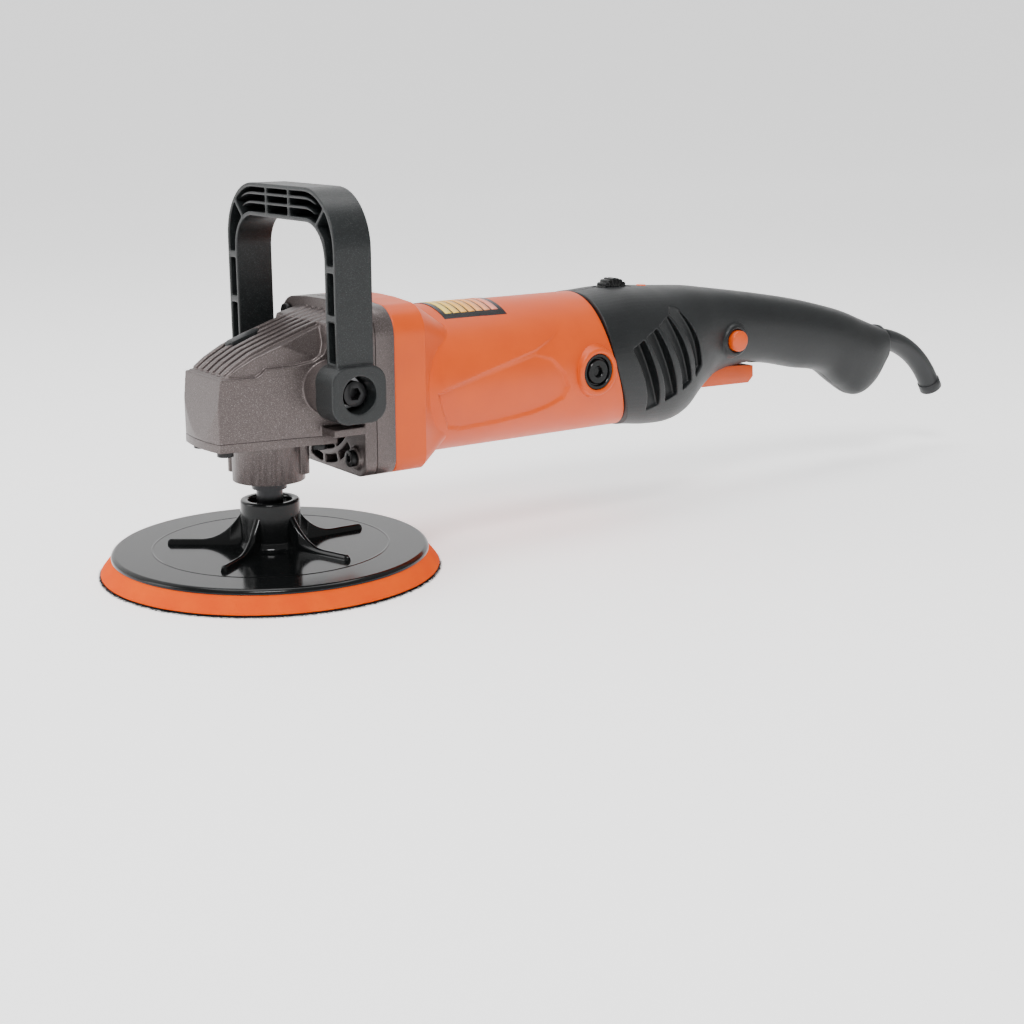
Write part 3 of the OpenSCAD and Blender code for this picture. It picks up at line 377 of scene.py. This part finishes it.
def collar_outline():
    """Half section of the square collar at y >= 0, from the bottom to the top, about the motor's axis."""
    low, top = COLLAR_LOW_Z - MOTOR_Z, COLLAR_TOP_Z - MOTOR_Z
    half = [(0, low)] + arc(COLLAR_HALF_W - COLLAR_LOW_R, low + COLLAR_LOW_R, COLLAR_LOW_R, -90, 0, 10)
    half += arc(COLLAR_HALF_W - COLLAR_TOP_R, top - COLLAR_TOP_R - 1.5, COLLAR_TOP_R, 0, 84, 12)
    return half + [(COLLAR_HALF_W / 3, top - 0.3), (0, top)]


COLLAR = collar_outline()


def collar_radius(a):
    """Distance from the motor's axis to the collar's outside, where a is the angle up from the side."""
    y, z = abs(math.cos(a)), math.sin(a)
    for (y0, z0), (y1, z1) in zip(COLLAR, COLLAR[1:]):
        turn0, turn1 = y * z0 - z * y0, y * z1 - z * y1
        if turn0 <= 1e-9 and turn1 >= -1e-9 and turn1 - turn0 > 1e-9:
            t = -turn0 / (turn1 - turn0)
            return math.hypot(y0 + (y1 - y0) * t, z0 + (z1 - z0) * t)
    return COLLAR_HALF_W


def parting_x(z):
    """Where the curved joint between the motor housing and the handle lies at a height."""
    t = (133 - min(max(z, 40), 140)) / 84
    return 199 - 14 * t + 44 * t * t


def smooth(a, b, v):
    """0 below a, 1 above b, and an S-curve between."""
    t = min(max((v - a) / (b - a), 0), 1)
    return t * t * (3 - 2 * t)


# (x, z) outline of the plain side panel, and the line of the crease above it
PANEL = [(78.5, 91), (82, 81), (89, 69.5), (98.5, 67.5), (122, 68.8), (145.5, 71.5), (157, 74.5), (166, 78.5),
         (169, 85.5), (165, 94.5), (157, 103), (146, 106.5), (128, 103), (107, 98.5), (92, 94.5)]
CREASE = [(78, 92), (107, 99.5), (128, 104.5), (146, 108.5), (160, 114), (176, 125)]


def panel_depth(x, z):
    """How deep the plain side panel lies at a point: 1 inside it, 0 outside, sloping at its edge."""
    inside, nearest = False, 1e9
    for (x0, z0), (x1, z1) in zip(PANEL, PANEL[1:] + PANEL[:1]):
        if (z0 > z) != (z1 > z) and x < (x1 - x0) * (z - z0) / (z1 - z0) + x0:
            inside = not inside
        length = math.hypot(x1 - x0, z1 - z0)
        t = min(max(((x - x0) * (x1 - x0) + (z - z0) * (z1 - z0)) / length ** 2, 0), 1)
        nearest = min(nearest, math.hypot(x - x0 - t * (x1 - x0), z - z0 - t * (z1 - z0)))
    return smooth(0, 1.8, nearest) if inside else 0.0


def crease_drop(x, z):
    """Depth of the shallow step that runs along the top of the panel and fades out behind it."""
    for (x0, z0), (x1, z1) in zip(CREASE, CREASE[1:]):
        if x0 <= x <= x1:
            line = z0 + (z1 - z0) * (x - x0) / (x1 - x0)
            fade = smooth(78, 100, x) * (1 - smooth(150, 176, x))
            return fade * smooth(0, 1.5, line - z) * (1 - smooth(1.5, 26, line - z))
    return 0.0


def barrel_radius(x, a):
    """Outside radius of the motor housing at x, where a is the angle up from the side."""
    if x <= COLLAR_END_X:
        near_edge = min(x - MOTOR_X, EDGE_R)
        return collar_radius(a) - (EDGE_R - math.sqrt(max(EDGE_R ** 2 - (EDGE_R - near_edge) ** 2, 0)))
    side = abs(math.cos(a))
    base = BARREL_R + BULGE * side ** 3 * (1 - smooth(120, 178, x)) * smooth(70, 84, x)
    taper = collar_radius(a) - (x - COLLAR_END_X) / TAPER
    if taper > base:
        return taper
    z = MOTOR_Z + base * math.sin(a)
    depth = panel_depth(x, z)
    return base - side * (PANEL_DEPTH * depth + CREASE_DEPTH * crease_drop(x, z) * (1 - depth))


def motor_ring(a):
    """The wall's outline in the half plane at one angle: the outside forwards, then the inside back."""
    end = parting_x(MOTOR_Z + BARREL_R * math.sin(a))
    last = FRONT_XS[-1] + 0.5
    xs = FRONT_XS + [last + (end - 0.5 - last) * k / 110 for k in range(111)] + [end]
    outer = [(x, barrel_radius(x, a)) for x in xs]
    outer[-1] = (end, outer[-1][1] - 0.5)
    inner_r = BARREL_R - MOTOR_WALL
    collar_r = collar_radius(a) - MOTOR_WALL
    inner = [(end, inner_r), (160, inner_r), (95, inner_r), (BARREL_X - 3, inner_r),
             (COLLAR_END_X - 1, collar_r), (60, collar_r), (MOTOR_X, collar_r)]
    return [(x * MM, r * math.cos(a) * MM, (MOTOR_Z + r * math.sin(a)) * MM) for x, r in outer + inner]


def motor_skin():
    """The motor housing: square collar, taper, and round barrel with its side panels."""
    steps = 320
    rings = [motor_ring(2 * math.pi * i / steps) for i in range(steps)]
    verts, faces = loft(rings + [rings[0]])
    mesh = mesh_from("motor_skin", verts, faces)
    bm = bmesh.new()
    bm.from_mesh(mesh)
    bmesh.ops.remove_doubles(bm, verts=bm.verts, dist=1e-7)
    bmesh.ops.recalc_face_normals(bm, faces=bm.faces)
    bm.to_mesh(mesh)
    bm.free()
    return mesh


def turned_y(profile, x, z, steps, side):
    """A (radius, distance from the middle) profile turned round an axis along Y."""
    def place(r, h, a):
        return ((x + r * math.cos(a)) * MM, side * h * MM, (z + r * math.sin(a)) * MM)
    return revolve(profile + [profile[0]], steps, place)


def turned_z(profile, steps):
    """A closed (radius, height) profile turned round the pad's axis."""
    def place(r, h, a):
        return (r * math.cos(a) * MM, r * math.sin(a) * MM, h * MM)
    return revolve(profile + [profile[0]], steps, place)


def join_meshes(name, parts):
    """One smooth mesh of (vertices, faces) parts, welded and with its faces turned outwards."""
    bm = bmesh.new()
    for verts, faces in parts:
        bm.from_mesh(mesh_from("part", verts, faces))
    bmesh.ops.remove_doubles(bm, verts=bm.verts, dist=1e-6)
    bmesh.ops.dissolve_degenerate(bm, edges=bm.edges, dist=1e-6)
    bmesh.ops.recalc_face_normals(bm, faces=bm.faces)
    mesh = bpy.data.meshes.new(name)
    bm.to_mesh(mesh)
    bm.free()
    for p in mesh.polygons:
        p.use_smooth = True
    return mesh


def scratch(name, parts):
    """A solid made of (vertices, faces) parts, with its faces turned outwards, to cut with or join on."""
    o = bpy.data.objects.new(name, join_meshes(name, parts))
    bpy.context.scene.collection.objects.link(o)
    return o


motor = link("motor_shell", motor_skin(), "motor_housing")
for side in (-1, 1):
    hole = [(0, 30), (BRUSH_HOLE_R, 30), (BRUSH_HOLE_R, 50), (0, 50)]
    cut(motor, scratch("brush_hole", [turned_y(hole, BRUSH_X, MOTOR_Z, 72, side)]))
motor.data.set_sharp_from_angle(angle=math.radians(24))

# (radius, distance from the middle) of the ring round each brush cap, and of the cap
BOSS = [(10.3, 33), (10.3, 42.6), (10.5, 43.1), (11.0, 43.4), (12.4, 43.4), (13.1, 43.0), (13.5, 42.2),
        (14.0, 39.5), (15.2, 37.5), (15.2, 33)]
CAP = [(0, 36), (10.2, 36), (10.2, 42.0), (9.8, 42.4), (8.4, 42.4), (8.0, 42.0), (7.8, 40.8), (7.2, 40.8),
       (7.0, 42.0), (6.5, 42.5), (3.4, 42.5), (3.0, 42.1), (2.9, 40.4), (0, 40.4)]


def at_both_brushes(name, profile):
    """One mesh of a profile turned at both brush openings."""
    return join_meshes(name, [turned_y(profile, BRUSH_X, MOTOR_Z, 96, side) for side in (-1, 1)])


extra("brush_bosses", at_both_brushes("brush_bosses", BOSS), "housing", "orange_plastic")
caps = link("brush_cap_shape", at_both_brushes("brush_cap_shape", CAP), "brush_caps")
caps.data.set_sharp_from_angle(angle=SHARP)

# ---------- rating label: plain coloured bars, no words ----------

LABEL_X = (97.0, 138.0)
LABEL_HALF_ANGLE = 33.0
BAR_COUNT, BAR_PITCH = 7, 5.1
BAR_X, BAR_DEG = (100.2, 104.2), (-26, 15)
MARK_X, MARK_DEG = (100.9, 103.5), (18, 26)
LABEL_R = (BARREL_R - 0.2, BARREL_R + 0.35)
PRINT_R = (BARREL_R + 0.2, BARREL_R + 0.46)


def barrel_patch(x_range, degrees, r_range):
    """A thin curved plate lying on the barrel between two angles from the top."""
    (x0, x1), (a0, a1), (r0, r1) = x_range, degrees, r_range
    steps = 24
    verts, faces = [], []
    for k in range(steps + 1):
        a = math.radians(a0 + (a1 - a0) * k / steps)
        for x, r in ((x0, r0), (x1, r0), (x1, r1), (x0, r1)):
            verts.append((x * MM, r * math.sin(a) * MM, (MOTOR_Z + r * math.cos(a)) * MM))
    for k in range(steps):
        for c in range(4):
            a, b = 4 * k + c, 4 * k + (c + 1) % 4
            faces.append([a, b, b + 4, a + 4])
    faces.append([3, 2, 1, 0])
    faces.append([4 * steps + c for c in range(4)])
    return verts, faces


def printed_row(name, x_range, degrees):
    """A row of equal patches along the label."""
    x0, x1 = x_range
    row = [barrel_patch((x0 + BAR_PITCH * k, x1 + BAR_PITCH * k), degrees, PRINT_R) for k in range(BAR_COUNT)]
    return extra(name, join_meshes(name, row), "housing", "label")


label_plate = barrel_patch(LABEL_X, (-LABEL_HALF_ANGLE, LABEL_HALF_ANGLE), LABEL_R)
label = link("label_plate", join_meshes("label_plate", [label_plate]), "speed_label")
label.data.set_sharp_from_angle(angle=SHARP)
printed_row("label_bars", BAR_X, BAR_DEG).data.materials[0] = label_bar_paint()
printed_row("label_marks", MARK_X, MARK_DEG).data.materials[0] = MATERIALS["label_mark"]

# ---------- rear handle ----------

HANDLE_X, HANDLE_END_X, SEAM = 205.0, 466.0, 0.3
WALL, VENT_WALL = 2.6, 10
SECTION_POWER = 0.86
# x, top z, bottom z and half width along the handle
STATIONS = [(205, 132.9, 51.7, 40.6), (230, 134.2, 49.5, 39.5), (252, 133, 49.5, 36.5), (270, 131.8, 54, 32),
            (289, 130.5, 66, 26.5), (305, 128.3, 74, 22.5), (327, 125, 77.5, 20), (350, 121.4, 77, 19),
            (380, 116, 71, 18.5), (408, 109.5, 65.5, 18.3), (426, 104.5, 54, 18), (441, 99, 46.5, 17),
            (454, 94.2, 51.5, 15.2), (466, 90.2, 66, 12)]
BUTTON_X, BUTTON_Z, BUTTON_HOLE_R = 311.0, 97.0, 6.8
BUTTON_RING = [(6.7, 14), (6.7, 23.6), (7.2, 24.3), (8.6, 24.4), (9.6, 23.8), (11.0, 20.5), (12.0, 16.5),
               (12.0, 14)]
DIAL_X, DIAL_Z, DIAL_R = 230.0, 128.4, 10.4
DIAL_GAP, DIAL_HALF_Y = 1.2, 4.6
TRIGGER_SLOT_X, TRIGGER_SLOT_Z, TRIGGER_HALF_Y = (284.6, 342.6), (60, 87), 9.2
SCREW_SPOTS = [(246, 60.5), (262, 121), (352, 110), (366, 81), (432, 60)]
SCREW_HOLE_R, CUP_R = 3.6, 5
GUARD_X, GUARD_Z, GUARD_HOLE_R, GUARD_SLOPE_DEG = 470, 82, 7.3, 10
END_WALL = 2.4
# four corners of each slot, how far its long sides bow and how far out its floor lies
VENTS = [((214.6, 102.0), (224.4, 106.4), (240.2, 66.8), (231.6, 63.8)),
         ((226.4, 107.4), (236.4, 111.8), (254.0, 71.6), (244.8, 68.2)),
         ((239.0, 113.0), (248.6, 117.8), (267.4, 77.6), (259.2, 73.2)),
         ((250.2, 118.8), (255.6, 125.0), (277.6, 85.6), (271.4, 79.2))]
VENT_BOW = (1.6, 2.0, 3.0, 5.0)
VENT_FLOORS = (31.5, 30.5, 28.5, 25.5)
OUTSIDE_Y = 60


def station_at(x, c):
    """A cubic through the stations: c 1 is the top, 2 the bottom and 3 half the width."""
    last = len(STATIONS) - 1
    i = next((k for k in range(last) if x <= STATIONS[k + 1][0]), last - 1)
    a, b = STATIONS[i], STATIONS[i + 1]
    p, n = STATIONS[max(i - 1, 0)], STATIONS[min(i + 2, last)]
    w = b[0] - a[0]
    t = (x - a[0]) / w
    slope_a = 0 if i == 0 else (b[c] - p[c]) / (b[0] - p[0]) * w
    slope_b = (n[c] - a[c]) / (n[0] - a[0]) * w
    return ((2 * t ** 3 - 3 * t * t + 1) * a[c] + (t ** 3 - 2 * t * t + t) * slope_a
            + (3 * t * t - 2 * t ** 3) * b[c] + (t ** 3 - t * t) * slope_b)


def handle_point(x, degrees, inset, side):
    """A point of the handle's section, 90 degrees at the top and -90 at the bottom."""
    a = math.radians(degrees)
    top, low = station_at(x, 1) - inset, station_at(x, 2) + inset
    half = station_at(x, 3) - inset
    y = half * max(math.cos(a), 0) ** SECTION_POWER
    z = (top + low) / 2 + (top - low) / 2 * math.copysign(abs(math.sin(a)) ** SECTION_POWER, a)
    fade = (1 - (x - HANDLE_X) / (HANDLE_END_X - HANDLE_X)) ** 3
    return ((x + (parting_x(z) + SEAM - HANDLE_X) * fade) * MM, side * y * MM, z * MM)


def skin_y(x, z):
    """Half width of the handle at a point of its side view."""
    top, low = station_at(x, 1), station_at(x, 2)
    share = min(abs(z - (top + low) / 2) / ((top - low) / 2), 0.97)
    return station_at(x, 3) * math.cos(math.asin(share ** (1 / SECTION_POWER))) ** SECTION_POWER


def handle_shell(side):
    """One half's wall, thicker round the vents so that they end in the dark."""
    rings, steps = 120, 40
    loops = []
    for i in range(rings + 1):
        x = HANDLE_X + (HANDLE_END_X - HANDLE_X) * i / rings
        wall = WALL + VENT_WALL * (1 - smooth(276, 292, x))
        ring = [handle_point(x, 90 - 180 * k / steps, 0, side) for k in range(steps + 1)]
        ring += [handle_point(x, -90 + 180 * k / steps, wall, side) for k in range(steps + 1)]
        loops.append(ring)
    return loft(loops, shell_caps=True)


def box_part(x_range, y_range, z_range):
    """Vertices and faces of a box."""
    verts = [(x * MM, y * MM, z * MM) for x in x_range for y in y_range for z in z_range]
    return verts, [[0, 1, 3, 2], [4, 6, 7, 5], [0, 4, 5, 1], [2, 3, 7, 6], [0, 2, 6, 4], [1, 5, 7, 3]]


def prism_faces(n):
    """Faces of a prism whose vertices are one n-sided end and then the other."""
    faces = [list(range(n - 1, -1, -1)), list(range(n, 2 * n))]
    return faces + [[i, (i + 1) % n, n + (i + 1) % n, n + i] for i in range(n)]


def bowed_line(start, end, bow):
    """Nine points from one corner to the next, bowed towards +x."""
    (x0, z0), (x1, z1) = start, end
    return [(x0 + (x1 - x0) * t / 8 + bow * math.sin(math.pi * t / 8), z0 + (z1 - z0) * t / 8)
            for t in range(9)]


def vent_part(corners, bow, y_range):
    """A slot with two long bowed sides between its four corners."""
    a, b, c, d = corners
    outline = bowed_line(b, c, bow) + bowed_line(d, a, bow)
    verts = [(x * MM, y * MM, z * MM) for y in y_range for x, z in outline]
    return verts, prism_faces(len(outline))


def end_wall_part(side):
    """The plate that closes the handle's end, a little inside the shell's skin."""
    outline = [handle_point(HANDLE_END_X - 0.2, 90 - 15 * k, 0.5, side)[1:] for k in range(13)]
    verts = [(x * MM, y, z) for x in (HANDLE_END_X - END_WALL, HANDLE_END_X) for y, z in outline]
    return verts, prism_faces(len(outline))


def guard_hole():
    """Round hole for the cord guard, along its sloping axis."""
    slope = math.radians(GUARD_SLOPE_DEG)
    steps = 48
    verts = []
    for along in (-24, 8):
        for k in range(steps):
            a = 2 * math.pi * k / steps
            y, up = GUARD_HOLE_R * math.cos(a), GUARD_HOLE_R * math.sin(a)
            verts.append(((GUARD_X + along * math.cos(slope) + up * math.sin(slope)) * MM, y * MM,
                          (GUARD_Z - along * math.sin(slope) + up * math.cos(slope)) * MM))
    return verts, prism_faces(steps)


def screw_cup(x, z):
    """The tower under one screw head, open to the outside of the far half."""
    seat, lip = station_at(x, 3) * 0.55, skin_y(x, z) - 1.4
    profile = [(0, 1), (CUP_R, 1), (CUP_R, lip), (SCREW_HOLE_R, lip), (SCREW_HOLE_R, seat), (0, seat)]
    return turned_y(profile, x, z, 40, 1)


def handle_cuts(side):
    """The spaces taken out of one half: trigger, dial, vents, and the button or the screw holes."""
    trigger_y = sorted((-side, side * TRIGGER_HALF_Y))
    dial_x = (DIAL_X - DIAL_R - DIAL_GAP, DIAL_X + DIAL_R + DIAL_GAP)
    dial_y = sorted((-side, side * DIAL_HALF_Y))
    cuts = [box_part(TRIGGER_SLOT_X, trigger_y, TRIGGER_SLOT_Z),
            box_part(dial_x, dial_y, (DIAL_Z - 12, DIAL_Z + 13))]
    for corners, bow, floor_y in zip(VENTS, VENT_BOW, VENT_FLOORS):
        cuts.append(vent_part(corners, bow, sorted((side * floor_y, side * OUTSIDE_Y))))
    if side < 0:
        hole = [(0, 5), (BUTTON_HOLE_R, 5), (BUTTON_HOLE_R, 40), (0, 40)]
        return cuts + [turned_y(hole, BUTTON_X, BUTTON_Z, 48, side)]
    hole = [(0, 4), (SCREW_HOLE_R, 4), (SCREW_HOLE_R, OUTSIDE_Y), (0, OUTSIDE_Y)]
    return cuts + [turned_y(hole, x, z, 40, 1) for x, z in SCREW_SPOTS]


def handle_fittings(side):
    """The parts moulded onto one half: the button's ring on the near one, the screw cups on the far one."""
    if side < 0:
        return [turned_y(BUTTON_RING, BUTTON_X, BUTTON_Z, 72, side)]
    return [screw_cup(x, z) for x, z in SCREW_SPOTS]


def handle_half(name, node, side):
    """One half of the handle, cut out, fitted and then melted into a single moulding."""
    half = link(name, join_meshes(name, [handle_shell(side)]), node)
    for part in handle_cuts(side):
        cut(half, scratch("space", [part]))
    wall = scratch("end_wall", [end_wall_part(side)])
    cut(wall, scratch("cord_space", [guard_hole()]))
    added = [wall] + [scratch("fitting", [part]) for part in handle_fittings(side)]
    bm = bmesh.new()
    bm.from_mesh(half.data)
    for o in added:
        bm.from_mesh(o.data)
    bm.to_mesh(half.data)
    bm.free()
    for o in added:
        bpy.data.objects.remove(o)
    melt(half, voxel=0.5 * MM, rounds=4, keep=0.4)


handle_half("handle_near", "handle_left", -1)
handle_half("handle_far", "handle_right", 1)

# ---------- foam pad and hook face ----------

PAD_R, PLATE_R, HOOK_H, PLATE_Z = 89.0, 83.2, 1.2, 9.9
RIM_STEPS = 8
# (radius, height) from the middle of the underside, up the sloping rim and back to the middle
FOAM = [(0, HOOK_H), (60, HOOK_H), (86, HOOK_H), (88.2, HOOK_H + 0.05), (88.9, HOOK_H + 0.35),
        (89, HOOK_H + 0.9)]
FOAM += [(PAD_R - (PAD_R - PLATE_R) * t / RIM_STEPS, 2.2 + (PLATE_Z - 2.6) * t / RIM_STEPS)
         for t in range(1, RIM_STEPS)]
FOAM += [(PLATE_R + 0.15, PLATE_Z - 0.25), (PLATE_R - 0.5, PLATE_Z), (60, PLATE_Z), (0, PLATE_Z)]
ROUGH_FROM_M = 0.083
FIBRES, FIBRE_HALF_T = 3600, 0.11
LOWEST_FIBRE_Z = 0.12


def foam_shape():
    """The foam disc with its fine uneven cell texture on the outside."""
    mesh = join_meshes("foam_shape", [turned_z(FOAM, 900)])
    for v in mesh.vertices:
        flat = Vector((v.co.x, v.co.y, 0))
        if flat.length > ROUGH_FROM_M:
            pore = noise.noise(v.co * 900) * 0.12 + noise.noise(v.co * 90) * 0.15
            v.co += flat.normalized() * (pore - 0.14) * MM
    return mesh


link("foam_disc", foam_shape(), "foam_pad")


def fibre(k, rim):
    """One short stiff fibre at the rim: a thin three-sided strand that leans outwards and droops."""
    a = 2 * math.pi * (k + random.random()) / FIBRES
    root = Vector(((rim - 0.4) * math.cos(a), (rim - 0.4) * math.sin(a), 0.25 + 0.8 * random.random()))
    lean = a + random.uniform(-0.9, 0.9)
    length = random.uniform(1.0, 2.6)
    drop = random.uniform(-0.45, 0.05)
    verts = []
    for step in range(3):
        t = step / 2
        at = root + Vector((math.cos(lean), math.sin(lean), drop * t)) * (length * t)
        at.z = max(at.z, LOWEST_FIBRE_Z)
        r = FIBRE_HALF_T * (1 - 0.5 * t)
        verts += [(at + Vector((-math.sin(lean) * r * math.cos(c), math.cos(lean) * r * math.cos(c),
                                r * math.sin(c)))) * MM for c in (0, 2.1, 4.2)]
    faces = [[3 * i + c, 3 * i + (c + 1) % 3, 3 * i + 3 + (c + 1) % 3, 3 * i + 3 + c]
             for i in range(2) for c in range(3)]
    return verts, faces + [[2, 1, 0], [6, 7, 8]]


def hook_shape():
    """The hook-and-loop sheet with its short stiff fibres standing out at the rim."""
    rim, top = PAD_R - 0.6, HOOK_H - 0.02
    sheet = [(0, LOWEST_FIBRE_Z), (rim - 0.6, LOWEST_FIBRE_Z), (rim, 0.5), (rim, top), (0, top)]
    all_verts, all_faces = turned_z(sheet, 360)
    for k in range(FIBRES):
        start = len(all_verts)
        verts, faces = fibre(k, rim)
        all_verts += verts
        all_faces += [[start + v for v in f] for f in faces]
    return join_meshes("hook_shape", [(all_verts, all_faces)])


link("hook_disc", hook_shape(), "hook_face")

# ---------- backing plate ----------

PLATE_TOP, HUB_R, HUB_TOP = 12.6, 16.0, 37.6
# (radius, height) from the middle of the underside, round the rim, over the top and down the hub's bore
PLATE = [(0, PLATE_Z), (PLATE_R, PLATE_Z), (PLATE_R, 11.0), (PLATE_R - 0.3, 11.6), (PLATE_R - 1.6, 12.5),
         (PLATE_R - 2.2, PLATE_TOP), (PLATE_R - 2.6, PLATE_TOP), (62.9, PLATE_TOP), (62.5, PLATE_TOP),
         (62.2, PLATE_TOP + 0.2), (61.8, PLATE_TOP + 0.2), (61.5, PLATE_TOP), (61.1, PLATE_TOP),
         (20.5, PLATE_TOP), (20, PLATE_TOP), (17.6, 13.1), (16.5, 14.2), (HUB_R, 16.5), (HUB_R, 17.2),
         (HUB_R - 0.4, 36.2), (HUB_R - 0.4, 36.8), (HUB_R - 0.8, 37.4), (HUB_R - 1.3, HUB_TOP),
         (12.4, HUB_TOP), (11.8, 37.4), (11.5, 36.9), (11.5, 34.1), (9.5, 34.1), (9.5, 12.0), (0, 12.0)]
FIN_COUNT, FIN_REACH, FIN_STEPS = 5, 55.0, 32
FIN_HALF_W, FIN_FLARE = 1.35, 0.5
FIN_H, FIN_CLIMB = 2.9, 15.5
# an arm climbs the hub inside CLIMB_R, and the power makes its back hollow
CLIMB_R, CLIMB_SPAN, CLIMB_POWER = 38, 23, 2.3


def fin_section(half_w, height):
    """Across one arm: a flared foot, upright sides and a rounded top."""
    right = [(half_w * 0.3, height), (half_w * 0.75, height - 0.3), (half_w, height - 0.9),
             (half_w, 0.8), (half_w + 0.5, -0.6)]
    return [(-w, h) for w, h in reversed(right)] + right


def fin_part(turn):
    """One low arm with a rounded top and end, sweeping up the hub in a hollow curve."""
    loops = []
    for step in range(FIN_STEPS + 1):
        r = HUB_R - 1.5 + (FIN_REACH - HUB_R + 1.5) * step / FIN_STEPS
        rise = max((CLIMB_R - r) / CLIMB_SPAN, 0) ** CLIMB_POWER
        end = 1 - smooth(FIN_REACH - 1.6, FIN_REACH + 0.6, r)
        half_w = (FIN_HALF_W + FIN_FLARE * rise) * (0.45 + 0.55 * end)
        height = (FIN_H + FIN_CLIMB * rise) * (0.5 + 0.5 * end)
        loops.append([((r * math.cos(turn) - w * math.sin(turn)) * MM,
                       (r * math.sin(turn) + w * math.cos(turn)) * MM,
                       (PLATE_TOP + h) * MM) for w, h in fin_section(half_w, height)])
    verts, faces = loft(loops)
    n = len(loops[0])
    faces.append(list(range(n - 1, -1, -1)))
    faces.append([len(verts) - n + k for k in range(n)])
    return verts, faces


plate_parts = [turned_z(PLATE, 288)] + [fin_part(2 * math.pi * k / FIN_COUNT) for k in range(FIN_COUNT)]
plate = link("plate_shape", join_meshes("plate_shape", plate_parts), "backing_plate")
plate.data.set_sharp_from_angle(angle=math.radians(42))

# ---------- springs, each with a mesh of its own ------------

lock_spring = cad_piece("spindle_lock_spring", "lock_spring_coil")
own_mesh(lock_spring)
trigger_coil = cad_piece("trigger_spring", "trigger_spring_coil")
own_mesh(trigger_coil)

# ---------- floor and light ----------

PAPER_GLOW, WORLD_GLOW = 0.6, 0.6
FLOOR_NEAR_Y, SWEEP_Y, SWEEP_R, SWEEP_STEPS = -16, 2.5, 2.0, 24
WALL_TOP, HALF_SPAN = 8.0, 14.0


def studio_paper(name, glow):
    """White paper that glows a little, so that it photographs pale."""
    m = material(name, (0.98, 0.98, 0.98), (0.97, 0.97, 0.97), 0.7, gloss=0.1)
    shader = m.node_tree.nodes["Principled BSDF"]
    shader.inputs["Emission Color"].default_value = (1, 1, 1, 1)
    shader.inputs["Emission Strength"].default_value = glow
    return m


def paper_sweep():
    """A floor that runs back and curves up into a wall."""
    line = [(FLOOR_NEAR_Y, 0), (SWEEP_Y, 0)]
    for step in range(1, SWEEP_STEPS + 1):
        turn = math.pi / 2 * step / SWEEP_STEPS
        line.append((SWEEP_Y + SWEEP_R * math.sin(turn), SWEEP_R * (1 - math.cos(turn))))
    line.append((SWEEP_Y + SWEEP_R, WALL_TOP))
    verts = [(x, y, z) for y, z in line for x in (-HALF_SPAN, HALF_SPAN)]
    return verts, [[2 * k, 2 * k + 1, 2 * k + 3, 2 * k + 2] for k in range(len(line) - 1)]


floor = bpy.data.objects.new("floor", mesh_from("floor", *paper_sweep()))
bpy.context.scene.collection.objects.link(floor)
floor.data.materials.append(studio_paper("floor_paper", PAPER_GLOW))

world = bpy.data.worlds.new("studio")
bpy.context.scene.world = world
world.use_nodes = True
world.node_tree.nodes["Background"].inputs["Color"].default_value = (1, 1, 1, 1)
world.node_tree.nodes["Background"].inputs["Strength"].default_value = WORLD_GLOW


def softbox(name, at, aim, width, height, watts):
    """A rectangular area light at one point that faces another."""
    data = bpy.data.lights.new(name, "AREA")
    data.shape = "RECTANGLE"
    data.size = width
    data.size_y = height
    data.energy = watts
    o = bpy.data.objects.new(name, data)
    o.location = at
    o.rotation_mode = "QUATERNION"
    o.rotation_quaternion = (Vector(aim) - Vector(at)).to_track_quat("-Z", "Y")
    bpy.context.scene.collection.objects.link(o)


softbox("key", (-0.5, -0.8, 1.3), (0.15, 0, 0.08), 0.5, 0.5, 20)
softbox("top", (0.2, 0.2, 1.5), (0.15, 0, 0.1), 1.4, 0.7, 14)
softbox("side", (-1.2, 0.5, 0.5), (0.0, 0, 0.1), 0.6, 0.9, 7)
